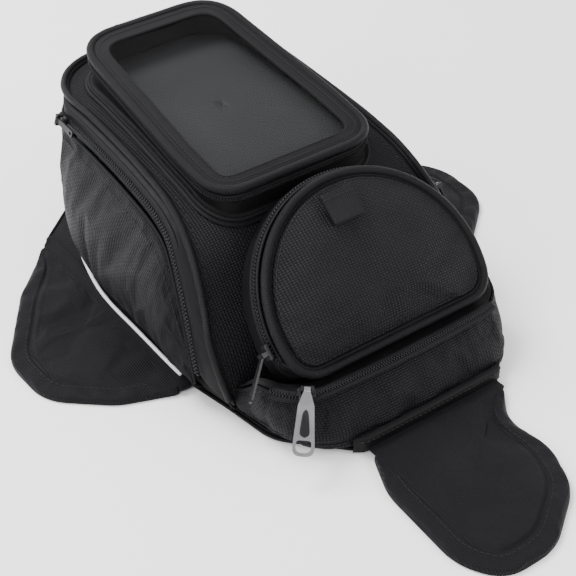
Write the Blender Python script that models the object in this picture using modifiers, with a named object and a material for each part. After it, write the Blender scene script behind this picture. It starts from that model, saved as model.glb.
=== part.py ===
"""Magnetic motorcycle tank bag: fabric body, phone pouch, four zipped pockets, two wings and a tongue.

Frame: +X to the rider's right, +Y away from the rider, +Z up, origin on the underside of the base.
Lengths below are in millimetres, and MM turns them into Blender's metres when an object is made.
"""
import math

import bmesh
import bpy
from mathutils import Matrix, Vector

MM = 0.001
GAP = 0.4                        # clearance between pieces that are sewn or laid together
Z_AXIS = Vector((0, 0, 1))

# Body: the piped top edge and the foot of the wall, right-hand side, from the front foot to the back.
TOP_EDGE = [(90, -80, 10), (93.5, -73, 30), (93, -62, 48), (88, -50, 62), (82, -32, 81), (78, -16, 92),
            (75, 0, 98), (73, 20, 102), (71, 60, 105.5), (70, 100, 107), (69.5, 130, 106.5),
            (64, 147, 106), (52, 160, 106), (34, 167, 106), (0, 169, 106)]
FOOT_EDGE = [(87, -80), (89, -72), (91, -62), (93, -50), (95.5, -34), (96, -16), (96, 0), (96, 20),
             (96, 50), (93, 75), (84, 108), (72, 127), (57, 141), (36, 152), (0, 157)]
BACK_SEAM = 10                   # the station where the side panel meets the back panel
TOP_CROWN = 2.0
TOP_THICKNESS = 3.0              # woven face, foam and lining together
WALL_THICKNESS = 2.5

# Base: the three flat layers under the body.
UNDERSIDE_THICKNESS = 2.0
BOTTOM_Z = UNDERSIDE_THICKNESS + GAP
BOTTOM_THICKNESS = 1.6
WALL_FOOT_Z = BOTTOM_Z + BOTTOM_THICKNESS + 1.0
BOARD_THICKNESS = 2.0
BASE_FRONT_Y = -145.8
BASE_HALF = [(45, BASE_FRONT_Y, 20), (82, -108, 30), (88, -72, 40), (96, -34, 30), (96, 137, 5), (64, 164, 12),
             (40, 157, 30)]
BOTTOM_HALF = [(44, -144.8, 20), (81, -108, 30), (87, -72, 40), (95, -34, 30), (95, 58, 70), (58, 138, 50),
               (36, 156, 40)]

# Cords.
TOP_PIPING_RADIUS = 2.2
REFLECTIVE_RADIUS = 1.3
REFLECTIVE_FROM, REFLECTIVE_TO = 4.0, 12.0

# Side pockets, on stations of the wall and as a share of the way down it.
POCKET_FRONT, POCKET_BACK = 2.6, 10.1
POCKET_FOOT = 0.92
POCKET_BULGE = 13.0
ZIP_STAND_OFF = 7.0
FOOT_STAND_OFF = 1.6
COVER_THICKNESS = 2.0
POCKET_HINGE = (98.5, 0, 12.5)

# Phone pouch and its lid.
RIM_HALF = [(58.5, -21.5, 42), (58.5, 25, 40), (52, 149, 28)]
RIM_FRONT_Y, RIM_BACK_Y = -21.5, 149.0
RIM_FRONT_Z = 112.0
RIM_TILT = math.radians(7)
POUCH_WALL_THICKNESS = 2.2
LID_THICKNESS = 3.0
FRAME_WIDTH = 9.5
FRAME_THICKNESS = 1.6
FILM_THICKNESS = 0.6
RIM_PIPING_RADIUS = 3.0
LID_OPENING_HALF = [(45, 2, 18), (45, 136, 18)]
WINDOW_ZIP_DROP = 6.2
LID_HINGE = (0, 152, 111)

# D-shaped front pocket: a circle cut by a chord, on a plane that leans back against the body.
D_CENTRE = Vector((5, -94.4, 60.6))
D_SLOPE = math.radians(45)
D_RADIUS = 70.5
D_CHORD = 24.5
D_CORNER = 14.0
D_DOME = 11.0
D_SKIRT = 8.0
D_DEPTH = 25.0
D_PIPING_RADIUS = 3.0
D_FLARE = 0.05                   # how much wider the gusset is than the cover
D_BACK_LIMIT_Y = -28.0           # the pocket's wall stops short of the pouch
LOOP_WIDTH, LOOP_LENGTH, LOOP_THICKNESS = 22.0, 17.0, 4.0

# Lower front pocket.
LOWER_TOP_EDGE = [(0, -123, 34), (40, -122.5, 34), (62, -121, 34), (76, -114, 34), (85, -100, 34.5),
                  (91, -79, 36)]
LOWER_FOOT_EDGE = [(0, -144), (38, -143.5), (56, -141.5), (71, -132), (81, -115), (88, -86)]
LOWER_ROOF_EDGE = [(0, -112, 33.5), (40, -112, 33.5), (60, -111, 33.5), (75, -103, 35), (81, -94, 38),
                   (84, -74, 41)]
LOWER_CENTRE_X = 3.0             # the pocket sits a little to the right of the middle
LOWER_ZIP_ENDS = (2.3, -3.7)     # stations of its right and left ends
LOWER_BULGE = 4.0
BAND_HEIGHT = 11.0
BAND_THICKNESS = 2.4
BAND_HALF_WIDTH = 54.0

# Flaps with magnets: two wings and the tongue.
SKIN = 1.0
PADDING = 3.0
FLAP_LAYERS = [("lining", 0.0, SKIN), ("padding", SKIN + 0.3, PADDING), ("top", SKIN + PADDING + 0.6, SKIN)]
FLAP_MID_Z = 2.8
WING_HINGE_X = 102.0
WING = [(102.8, -45, 4), (140, -31, 40), (174, -2, 34), (176, 40, 40), (140, 93, 60), (102.8, 130, 3)]
WING_MAGNETS = [(137, 6), (130, 72)]
TONGUE_HINGE_Y = -152.5
TONGUE = [(-44, -153.2, 4), (-55, -180, 40), (-57, -240, 40), (-42, -263.5, 25), (-6, -263.5, 40),
          (32, -237, 40), (43, -208, 40), (39, -176, 25), (56, -153.2, 4)]
TONGUE_ROOT_X = 6.0
TONGUE_MAGNETS = [(-26, -195), (24, -195)]
MAGNET_RADIUS = 15.0

# Zips.
TAPE_PROFILE = [(-6.5, 0), (6.5, 0), (6.5, 0.9), (2.8, 1.0), (2.4, 2.3), (-2.4, 2.3), (-2.8, 1.0), (-6.5, 0.9)]
NARROW_TAPE = [(-1.8, 0), (1.8, 0), (1.8, 1.0), (0.9, 1.9), (-0.9, 1.9), (-1.8, 1.0)]
SLIDER_LENGTH, SLIDER_WIDTH, SLIDER_HEIGHT = 10.0, 7.0, 3.0
LUG_THICKNESS = 1.4
PIN_RADIUS = 0.7
PIN_HEIGHT = SLIDER_HEIGHT + 2.4
LUG_TOP = PIN_HEIGHT + 1.3
LUG_HEIGHT = LUG_TOP - SLIDER_HEIGHT + 1.0
BARREL_RADIUS = 1.7
BARREL_BORE = 1.05
BARREL_LENGTH = 3.6
SIDE_SLIDER_SPOT = {"left": 22, "right": 4}     # left at the back end, right at the front foot
LOWER_SLIDER_SPOT = 17
LOWER_PULL_ANGLE = 25
LOWER_PULL_TURN = -15
D_SLIDER_ANGLE = 184
D_PULL_ANGLE = -46
WINDOW_SLIDER = (-18, 152.2)
LID_SLIDER = (59.0, 110)
LID_RUN = (0.052, -0.9986, -0.03)
SIDE_SLIDER_RISE = 2.8           # how far each slider's body rides above its zip's base
LOWER_SLIDER_RISE = 3.5
D_SLIDER_RISE = 3.2
LID_SLIDER_RISE = 3.4
SIDE_PULL_LENGTH = 22
D_PULL_LENGTH = 28
SHORT_PULL_LENGTH = 15
LOWER_PULL_LENGTH = 37.5
LOWER_PULL_HALF_WIDTH = 6.6
SLIM_PULL_THICKNESS = 1.2
D_PULL_THICKNESS = 1.3
LOWER_PULL_THICKNESS = 1.4


# ---------------------------------------------------------------- scene, materials and small maths

def clear_scene():
    for obj in list(bpy.data.objects):
        bpy.data.objects.remove(obj, do_unlink=True)


def new_collection(name):
    collection = bpy.data.collections.new(name)
    bpy.context.scene.collection.children.link(collection)
    return collection


def new_material(name, colour, roughness, metallic=0.0):
    material = bpy.data.materials.new(name)
    material.use_nodes = True
    shader = material.node_tree.nodes["Principled BSDF"]
    shader.inputs["Base Color"].default_value = (*colour, 1.0)
    shader.inputs["Roughness"].default_value = roughness
    shader.inputs["Metallic"].default_value = metallic
    material.diffuse_color = (*colour, 1.0)
    return material


def spline_point(points, s):
    """Point at station s of a Catmull-Rom spline through the given points."""
    last = len(points) - 1
    i = min(int(math.floor(s)), last - 1)
    u = s - i
    p1, p2 = Vector(points[i]), Vector(points[i + 1])
    p0 = Vector(points[i - 1]) if i > 0 else 2 * p1 - p2
    p3 = Vector(points[i + 2]) if i + 2 <= last else 2 * p2 - p1
    return 0.5 * (2 * p1 + (p2 - p0) * u + (2 * p0 - 5 * p1 + 4 * p2 - p3) * u ** 2
                  + (3 * p1 - p0 - 3 * p2 + p3) * u ** 3)


def stations(first, last, count):
    return [first + (last - first) * i / (count - 1) for i in range(count)]


def smoothstep(value):
    value = min(max(value, 0.0), 1.0)
    return value * value * (3 - 2 * value)


def mirror_x(point, side):
    """The same point on the right (side 1) or the left (side -1)."""
    return Vector((side * point[0], *point[1:]))


def rounded(corners, steps=5):
    """Closed outline through (x, y, radius) corners, each turned into an arc."""
    outline = []
    count = len(corners)
    for i, (x, y, radius) in enumerate(corners):
        corner = Vector((x, y))
        before = (Vector(corners[i - 1][:2]) - corner)
        after = (Vector(corners[(i + 1) % count][:2]) - corner)
        turn = before.angle(after)
        room = 0.49 * min(before.length, after.length)
        reach = min(radius / math.tan(turn / 2), room)
        start = corner + before.normalized() * reach
        end = corner + after.normalized() * reach
        for k in range(steps + 1):
            t = k / steps
            outline.append((1 - t) ** 2 * start + 2 * t * (1 - t) * corner + t * t * end)
    return outline


def both_halves(half):
    """Whole outline from its right half, listed from the front to the back."""
    return [*half, *[(-x, y, r) for x, y, r in reversed(half)]]


def offset_outline(outline, distance):
    """The outline moved outward (or inward, below zero) by a distance."""
    moved = []
    count = len(outline)
    for i in range(count):
        ahead = outline[(i + 1) % count] - outline[i]
        behind = outline[i] - outline[i - 1]
        tangent = ahead.normalized() + behind.normalized()
        if tangent.length < 1e-6:
            continue
        tangent.normalize()
        moved.append(outline[i] + Vector((tangent.y, -tangent.x)) * distance)
    return moved


# ---------------------------------------------------------------- makers of solids

def add_object(name, data, material, collection):
    obj = bpy.data.objects.new(name, data)
    collection.objects.link(obj)
    data.materials.append(material)
    return obj


def mesh_from(name, points, faces):
    mesh = bpy.data.meshes.new(name)
    mesh.from_pydata([Vector(p) * MM for p in points], [], faces)
    mesh.update()
    return mesh


def sheet_from_rows(name, rows, thickness, material, closed=False):
    """Cloth panel: an open grid of rows given a thickness behind its face."""
    width = len(rows[0])
    points = [p for row in rows for p in row]
    faces = []
    for r in range(len(rows) - 1):
        for c in range(width if closed else width - 1):
            d = (c + 1) % width
            faces.append((r * width + c, r * width + d, (r + 1) * width + d, (r + 1) * width + c))
    obj = add_object(name, mesh_from(name, points, faces), material, BAG)
    solid = obj.modifiers.new("thickness", "SOLIDIFY")
    solid.thickness = thickness * MM
    solid.offset = -1.0
    solid.use_even_offset = True
    return obj


def flat_plate(name, outline, z, thickness, material, holes=(), collection=None, plane=None):
    """Flat outline with a thickness, lying on z or on another plane."""
    curve = bpy.data.curves.new(name, "CURVE")
    curve.dimensions = "2D"
    curve.fill_mode = "BOTH"
    curve.extrude = thickness * MM / 2
    for loop in (outline, *holes):
        spline = curve.splines.new("POLY")
        spline.points.add(len(loop) - 1)
        for point, (x, y) in zip(spline.points, loop):
            point.co = (x * MM, y * MM, 0, 1)
        spline.use_cyclic_u = True
    obj = add_object(name, curve, material, collection or BAG)
    lift = Matrix.Translation((0, 0, (z + thickness / 2) * MM))
    obj.matrix_world = (plane or Matrix.Identity(4)) @ lift
    return obj


def cord(name, path, radius, material, closed=False):
    """Round cord along a path."""
    curve = bpy.data.curves.new(name, "CURVE")
    curve.dimensions = "3D"
    curve.bevel_depth = radius * MM
    curve.bevel_resolution = 1
    curve.use_fill_caps = not closed
    spline = curve.splines.new("POLY")
    spline.points.add(len(path) - 1)
    for point, place in zip(spline.points, path):
        point.co = (*(Vector(place) * MM), 1)
    spline.use_cyclic_u = closed
    return add_object(name, curve, material, BAG)


def strip(name, path, normals, profile, material, closed=False):
    """A flat section swept along a path, its back lying on the path and its face along the normals."""
    count = len(path)
    size = len(profile)
    points = []
    for i in range(count):
        ahead = path[(i + 1) % count] if closed or i + 1 < count else path[i]
        behind = path[i - 1] if closed or i > 0 else path[i]
        tangent = (ahead - behind).normalized()
        across = normals[i].cross(tangent).normalized()
        points += [path[i] + across * a + normals[i] * b for a, b in profile]
    faces = []
    for i in range(count if closed else count - 1):
        j = (i + 1) % count
        for k in range(size):
            m = (k + 1) % size
            faces.append((i * size + k, i * size + m, j * size + m, j * size + k))
    if not closed:
        faces.append(tuple(range(size - 1, -1, -1)))
        faces.append(tuple((count - 1) * size + k for k in range(size)))
    obj = add_object(name, mesh_from(name, points, faces), material, BAG)
    make_faces_point_out(obj.data)
    return obj


def make_faces_point_out(mesh):
    work = bmesh.new()
    work.from_mesh(mesh)
    bmesh.ops.recalc_face_normals(work, faces=work.faces)
    work.to_mesh(mesh)
    work.free()


def box(name, size, centre, material, collection, matrix=None):
    """Rectangular block, by its size and centre."""
    mesh = bpy.data.meshes.new(name)
    work = bmesh.new()
    bmesh.ops.create_cube(work, size=1.0)
    bmesh.ops.scale(work, vec=Vector(size) * MM, verts=work.verts)
    bmesh.ops.translate(work, vec=Vector(centre) * MM, verts=work.verts)
    work.to_mesh(mesh)
    work.free()
    obj = add_object(name, mesh, material, collection)
    obj.matrix_world = matrix or Matrix.Identity(4)
    return obj


def rod(name, radius, length, centre, material, collection, matrix=None, sides=12):
    """Round bar along X, by its length and centre."""
    mesh = bpy.data.meshes.new(name)
    work = bmesh.new()
    bmesh.ops.create_cone(work, cap_ends=True, segments=sides, radius1=radius * MM, radius2=radius * MM,
                          depth=length * MM, matrix=Matrix.Rotation(math.pi / 2, 4, "Y"))
    bmesh.ops.translate(work, vec=Vector(centre) * MM, verts=work.verts)
    work.to_mesh(mesh)
    work.free()
    obj = add_object(name, mesh, material, collection)
    obj.matrix_world = matrix or Matrix.Identity(4)
    return obj


def as_mesh(curve_object):
    """A curve object turned into a mesh object with its caps joined on."""
    bpy.context.view_layer.update()
    evaluated = curve_object.evaluated_get(bpy.context.evaluated_depsgraph_get())
    mesh = bpy.data.meshes.new_from_object(evaluated)
    work = bmesh.new()
    work.from_mesh(mesh)
    bmesh.ops.remove_doubles(work, verts=work.verts, dist=1e-6)
    work.to_mesh(mesh)
    work.free()
    name = curve_object.name
    collection = curve_object.users_collection[0]
    matrix = curve_object.matrix_world.copy()
    bpy.data.objects.remove(curve_object, do_unlink=True)
    obj = bpy.data.objects.new(name, mesh)
    collection.objects.link(obj)
    obj.matrix_world = matrix
    return obj


def combine(obj, other, operation):
    """Boolean with another object, which becomes a hidden cutter."""
    other.hide_render = True
    other.display_type = "WIRE"
    modifier = obj.modifiers.new(operation.lower(), "BOOLEAN")
    modifier.operation = operation
    modifier.object = other
    modifier.solver = "EXACT"


def pivot(name, place, matrix=None):
    """Empty on a joint's axis, which the moving pieces hang from."""
    empty = bpy.data.objects.new(name, None)
    BAG.objects.link(empty)
    empty.empty_display_size = 0.01
    empty.matrix_world = matrix or Matrix.Translation(Vector(place) * MM)
    return empty


def hang(empty, *pieces):
    """Parent pieces to an empty without moving them."""
    bpy.context.view_layer.update()
    for piece in pieces:
        world = piece.matrix_world.copy()
        piece.parent = empty
        piece.matrix_parent_inverse = empty.matrix_world.inverted()
        piece.matrix_world = world


# ---------------------------------------------------------------- the wall of the body

def foot_point(s):
    x, y = spline_point([(*p, 0) for p in FOOT_EDGE], s)[:2]
    return Vector((x, y, WALL_FOOT_Z))


def outward(s):
    """Level direction that points away from the body at station s."""
    step = 0.05
    behind = max(s - step, 0.0)
    ahead = min(s + step, len(TOP_EDGE) - 1)
    tangent = foot_point(ahead) - foot_point(behind)
    return Vector((tangent.y, -tangent.x, 0)).normalized()


def top_normal(s):
    """Direction square to the top panel at its edge."""
    step = 0.3
    behind = spline_point(TOP_EDGE, max(s - step, 0.0))
    ahead = spline_point(TOP_EDGE, min(s + step, len(TOP_EDGE) - 1))
    rise, run = ahead.z - behind.z, ahead.y - behind.y
    if run < 1.0 and s > BACK_SEAM - 1:
        return Z_AXIS.copy()
    return Vector((0, -rise, run)).normalized()


def wall_point(s, down, out=0.0):
    """Point on the wall at station s, a share of the way down, pushed outward."""
    start = spline_point(TOP_EDGE, s) - top_normal(s) * (TOP_THICKNESS + 1.6)
    return start.lerp(foot_point(s), down) + outward(s) * out


def wall_panel(name, first, last, count, side, material):
    rows = []
    for s in stations(first, last, count):
        rows.append([mirror_x(wall_point(s, down), side) for down in stations(0, 1, 5)])
    if side < 0:
        rows.reverse()
    return sheet_from_rows(name, rows, WALL_THICKNESS, material)


def make_body(cloth):
    last = len(TOP_EDGE) - 1
    for side, label in ((1, "right"), (-1, "left")):
        wall_panel(f"{label}_side_panel", 0.0, BACK_SEAM - 0.03, 17, side, cloth["nylon"])
    rows = [[wall_point(s, down) for down in stations(0, 1, 5)] for s in stations(BACK_SEAM + 0.03, last, 9)]
    rows += [[mirror_x(p, -1) for p in row] for row in reversed(rows[:-1])]
    sheet_from_rows("back_panel", rows, WALL_THICKNESS, cloth["nylon"])

    rows = []
    for s in stations(0.0, last - 1, 25):
        edge = spline_point(TOP_EDGE, s)
        half = edge.x - 1.0
        crown = TOP_CROWN * smoothstep((edge.z - 20) / 60)
        rows.append([Vector((half * k, edge.y, edge.z + crown * (1 - k * k))) for k in stations(-1, 1, 7)])
    top = sheet_from_rows("top_panel", rows, TOP_THICKNESS, cloth["weave"])
    opening = flat_plate("lid_opening_cutter", rounded(both_halves(LID_OPENING_HALF)), 80, 60,
                         cloth["weave"], collection=CUTTERS)
    combine(top, as_mesh(opening), "DIFFERENCE")

    reach = TOP_PIPING_RADIUS + 0.7
    path = []
    for s in stations(0.3, last, 32):
        lean = (outward(s) + top_normal(s)).normalized()
        path.append(spline_point(TOP_EDGE, s) + lean * reach)
    path += [mirror_x(p, -1) for p in reversed(path[:-1])]
    cord("top_edge_piping", path, TOP_PIPING_RADIUS, cloth["binding"])

    for side, label in ((1, "right"), (-1, "left")):
        path = [mirror_x(foot_point(s) + outward(s) * (REFLECTIVE_RADIUS + 0.6), side)
                for s in stations(REFLECTIVE_FROM, REFLECTIVE_TO, 18)]
        cord(f"{label}_reflective_piping", path, REFLECTIVE_RADIUS, cloth["reflective"])


def make_base(cloth):
    flat_plate("underside_panel", rounded(both_halves(BASE_HALF)), 0, UNDERSIDE_THICKNESS, cloth["grip"])
    bottom = rounded(both_halves(BOTTOM_HALF))
    flat_plate("bottom_panel", bottom, BOTTOM_Z, BOTTOM_THICKNESS, cloth["nylon"])
    board_half = [(70, -76, 16), (86, -60, 20), (86, 50, 60), (62, 122, 50), (30, 144, 40)]
    flat_plate("base_board", rounded(both_halves(board_half)), WALL_FOOT_Z, BOARD_THICKNESS, cloth["board"])


# ---------------------------------------------------------------- zips

def slider_frame(place, along, normal):
    """Matrix of a slider: X along the zip, Z out of it."""
    along = along.normalized()
    normal = (normal - along * normal.dot(along)).normalized()
    across = normal.cross(along)
    matrix = Matrix((along, across, normal)).transposed().to_4x4()
    matrix.translation = Vector(place) * MM
    return matrix


def make_slider(name, matrix, pin_turn, metal):
    """Slider body with two lugs and the pin that its pull swings on, all one casting."""
    turned = matrix @ Matrix.Rotation(pin_turn, 4, "Z")
    size = (SLIDER_LENGTH, SLIDER_WIDTH, SLIDER_HEIGHT)
    body = box(name, size, (0, 0, SLIDER_HEIGHT / 2), metal, BAG, matrix)
    bevel = body.modifiers.new("round", "BEVEL")
    bevel.width = 0.8 * MM
    bevel.segments = 1
    lug_x = BARREL_LENGTH / 2 + 0.4 + LUG_THICKNESS / 2
    for x in (-lug_x, lug_x):
        size = (LUG_THICKNESS, 2.6, LUG_HEIGHT)
        lug = box(f"{name}_lug_cutter", size, (x, 0, LUG_TOP - LUG_HEIGHT / 2), metal, CUTTERS, turned)
        combine(body, lug, "UNION")
    pin = rod(f"{name}_pin_cutter", PIN_RADIUS, 2 * lug_x, (0, 0, PIN_HEIGHT), metal, CUTTERS, turned, sides=10)
    combine(body, pin, "UNION")
    return body


def make_pull(name, swing, outline, window, thickness, metal):
    """Pull: a flat tab on a barrel, hanging from the slider's pin."""
    tab = as_mesh(flat_plate(name, outline, -thickness / 2, thickness, metal, holes=[window], plane=swing))
    barrel = rod(f"{name}_barrel_cutter", BARREL_RADIUS, BARREL_LENGTH, (0, 0, 0), metal, CUTTERS, swing)
    combine(tab, barrel, "UNION")
    bore = rod(f"{name}_bore_cutter", BARREL_BORE, BARREL_LENGTH + 2, (0, 0, 0), metal, CUTTERS, swing)
    combine(tab, bore, "DIFFERENCE")
    return tab


def slim_pull(length):
    """Outline and window of a slim tab that hangs along -Y."""
    outline = rounded([(-1.7, -0.8, 0.2), (1.7, -0.8, 0.2), (2.3, -length, 1.6), (-2.3, -length, 1.6)][::-1], 3)
    window = rounded([(-1.0, 4 - length, 0.8), (1.0, 4 - length, 0.8), (1.0, 1.6 - length, 0.8),
                      (-1.0, 1.6 - length, 0.8)], 2)
    return outline, window


def wide_pull(length, half):
    """Outline and window of a wide frame-shaped tab that hangs along -Y."""
    outline = rounded([(-1.8, -0.8, 0.2), (1.8, -0.8, 0.2), (half - 2.0, -9, 4), (half, -length, 5),
                       (-half, -length, 5), (-half + 2.0, -9, 4)][::-1], 4)
    window = rounded([(half - 2.2, 9 - length, 2), (half - 2.4, 2.2 - length, 3), (2.4 - half, 2.2 - length, 3),
                      (2.2 - half, 9 - length, 2)], 3)
    return outline, window


# ---------------------------------------------------------------- side pockets

def zip_share(s):
    """How far down the wall the zip runs: level along the top, then an arc down to the front foot."""
    turn = (5.9 - s) / (5.9 - POCKET_FRONT)
    level = 0.085
    if turn <= 0:
        return level
    return level + (POCKET_FOOT - level) * (1 - math.sqrt(max(0.0, 1 - min(turn, 1.0) ** 2)))


def stand_off(s):
    """How far the zip stands out from the wall."""
    fade = smoothstep((POCKET_BACK + 0.5 - s) / 0.9)
    return FOOT_STAND_OFF + (ZIP_STAND_OFF - FOOT_STAND_OFF) * fade


def make_side_pocket(side, label, cloth):
    rows = []
    for s in stations(POCKET_FRONT + 0.06, POCKET_BACK, 16):
        top_share = zip_share(s)
        row = []
        for v in stations(0, 1, 8):
            down = top_share + 0.025 + (POCKET_FOOT - top_share - 0.025) * v
            around = (s - POCKET_FRONT) / (POCKET_BACK - POCKET_FRONT)
            bulge = POCKET_BULGE * (math.sin(math.pi * v) ** 0.7) * (math.sin(math.pi * around) ** 0.4)
            edge = stand_off(s) * (1 - smoothstep(v)) + FOOT_STAND_OFF * smoothstep(v)
            row.append(mirror_x(wall_point(s, down, edge + COVER_THICKNESS + bulge), side))
        rows.append(row)
    if side < 0:
        rows.reverse()
    cover = sheet_from_rows(f"{label}_pocket_cover", rows, COVER_THICKNESS, cloth["weave"])
    hang(pivot(f"{label}_pocket_pivot", mirror_x(POCKET_HINGE, side)), cover)

    path, normals = [], []
    for s in stations(POCKET_FRONT - 0.1, POCKET_BACK + 0.5, 26):
        path.append(mirror_x(wall_point(s, max(zip_share(s + 0.25) - 0.045, 0.03), stand_off(s)), side))
        normals.append(mirror_x(outward(s) + Z_AXIS * 0.3, side).normalized())
    narrow = [(a * 0.5, b) for a, b in TAPE_PROFILE]
    strip(f"{label}_side_zip", path, normals, narrow, cloth["zip"])
    return path, normals


# ---------------------------------------------------------------- phone pouch

def rim_height(y):
    return RIM_FRONT_Z + (y - RIM_FRONT_Y) * math.tan(RIM_TILT)


def top_height(y):
    """Height of the top panel's face on its centre line."""
    low, high = 0.0, float(len(TOP_EDGE) - 2)
    for _ in range(30):
        middle = (low + high) / 2
        if spline_point(TOP_EDGE, middle).y < y:
            low = middle
        else:
            high = middle
    return spline_point(TOP_EDGE, low).z + TOP_CROWN


def make_pouch(cloth):
    outline = rounded(both_halves(RIM_HALF), 5)
    lid_pivot = pivot("main_lid_pivot", LID_HINGE)

    rows = [[Vector((x, y, top_height(y) + LID_THICKNESS + 1.0)) for x in (-64, 64)]
            for y in stations(-26, 154, 16)]
    panel = sheet_from_rows("lid_panel", rows, LID_THICKNESS, cloth["nylon"])
    inside = offset_outline(outline, -POUCH_WALL_THICKNESS - GAP)
    keep = flat_plate("lid_panel_keeper", inside, 60, 80, cloth["nylon"], collection=CUTTERS)
    combine(panel, as_mesh(keep), "INTERSECT")

    foot = [Vector((p.x, p.y, top_height(p.y) + 1.8)) for p in outline]
    head = [Vector((p.x, p.y, rim_height(p.y) - RIM_PIPING_RADIUS - 0.8)) for p in outline]
    rows = [[a.lerp(b, k) for a, b in zip(foot, head)] for k in stations(0, 1, 3)]
    wall = sheet_from_rows("pouch_wall", rows, POUCH_WALL_THICKNESS, cloth["nylon"], closed=True)

    tilt = Matrix.Translation(Vector((0, RIM_FRONT_Y, RIM_FRONT_Z)) * MM) @ Matrix.Rotation(RIM_TILT, 4, "X")
    stretch = 1 / math.cos(RIM_TILT)
    on_plane = [Vector((p.x, (p.y - RIM_FRONT_Y) * stretch)) for p in outline]
    frame_edge = offset_outline(on_plane, -0.2 - RIM_PIPING_RADIUS)
    frame_hole = offset_outline(on_plane, -RIM_PIPING_RADIUS - FRAME_WIDTH)
    film_edge = offset_outline(on_plane, -RIM_PIPING_RADIUS - 3.0)
    frame = flat_plate("window_frame", frame_edge, -FRAME_THICKNESS / 2, FRAME_THICKNESS, cloth["binding"],
                       holes=[frame_hole], plane=tilt)
    film = flat_plate("window_film", film_edge, -FRAME_THICKNESS / 2 - FILM_THICKNESS - 0.3, FILM_THICKNESS,
                      cloth["film"], plane=tilt)
    piping = cord("rim_piping", [Vector((p.x, p.y, rim_height(p.y))) for p in outline], RIM_PIPING_RADIUS - 0.3,
                  cloth["binding"], closed=True)
    window_pivot = pivot("window_lid_pivot", (0, RIM_BACK_Y, rim_height(RIM_BACK_Y)))
    hang(window_pivot, frame, film, piping)

    belt = offset_outline(outline, 0.5)
    belt_path = [Vector((p.x, p.y, rim_height(p.y) - WINDOW_ZIP_DROP)) for p in belt]
    belt_normals = [Vector((q.x - p.x, q.y - p.y, 0)).normalized()
                    for p, q in zip(outline, offset_outline(outline, 1.0))]
    window_zip = strip("window_zip", belt_path, belt_normals, NARROW_TAPE, cloth["zip"], closed=True)
    hang(lid_pivot, panel, wall, window_zip)
    hang(lid_pivot, window_pivot)

    ring = offset_outline(outline, 2.6)
    ring_normals = [Vector((0, top_height(p.y - 1) - top_height(p.y + 1), 2)).normalized() for p in ring]
    ring_path = [Vector((p.x, p.y, top_height(p.y) - TOP_CROWN * (p.x / 70) ** 2)) + n * 1.9
                 for p, n in zip(ring, ring_normals)]
    strip("lid_zip", ring_path, ring_normals, NARROW_TAPE, cloth["zip"], closed=True)
    return lid_pivot


# ---------------------------------------------------------------- D-shaped pocket

def d_matrix():
    """Frame of the D: X level, Y up the slope, Z out of the face."""
    matrix = Matrix.Rotation(D_SLOPE, 4, "X")
    matrix.translation = D_CENTRE * MM
    return matrix


def d_world(point, depth=0.0):
    """World place, in millimetres, of a point of the D's own plane."""
    local = Vector((point[0], point[1], depth)) * MM
    return (d_matrix() @ local) / MM


def d_outline(steps=20):
    """The D, anticlockwise: its arc from right to left, a corner, the chord and the other corner."""
    reach = math.sqrt((D_RADIUS - D_CORNER) ** 2 - (D_CHORD - D_CORNER) ** 2)
    end = math.atan2(D_CORNER - D_CHORD, reach)
    points = [D_RADIUS * spoke(a) for a in stations(end, math.pi - end, steps + 1)]
    left, right = Vector((-reach, D_CORNER - D_CHORD)), Vector((reach, D_CORNER - D_CHORD))
    points += [left + D_CORNER * spoke(a) for a in stations(math.pi - end, 1.5 * math.pi, 4)[1:]]
    points += [Vector((x, -D_CHORD)) for x in stations(-reach, reach, 6)[1:-1]]
    points += [right + D_CORNER * spoke(a) for a in stations(1.5 * math.pi, 2 * math.pi + end, 4)[:-1]]
    return points


def spoke(angle):
    return Vector((math.cos(angle), math.sin(angle)))


def d_skirt(point):
    """Depth of the cover's turned-down edge, none along the chord where the cover hinges."""
    return 0.6 + (D_SKIRT - 0.6) * smoothstep((point.y + D_CHORD - 4) / 14)


def d_flared(point):
    """Point of the outline moved out to the gusset, with the chord left where it is."""
    return Vector((point.x * (1 + D_FLARE), (point.y + D_CHORD) * (1 + D_FLARE) - D_CHORD))


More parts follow.
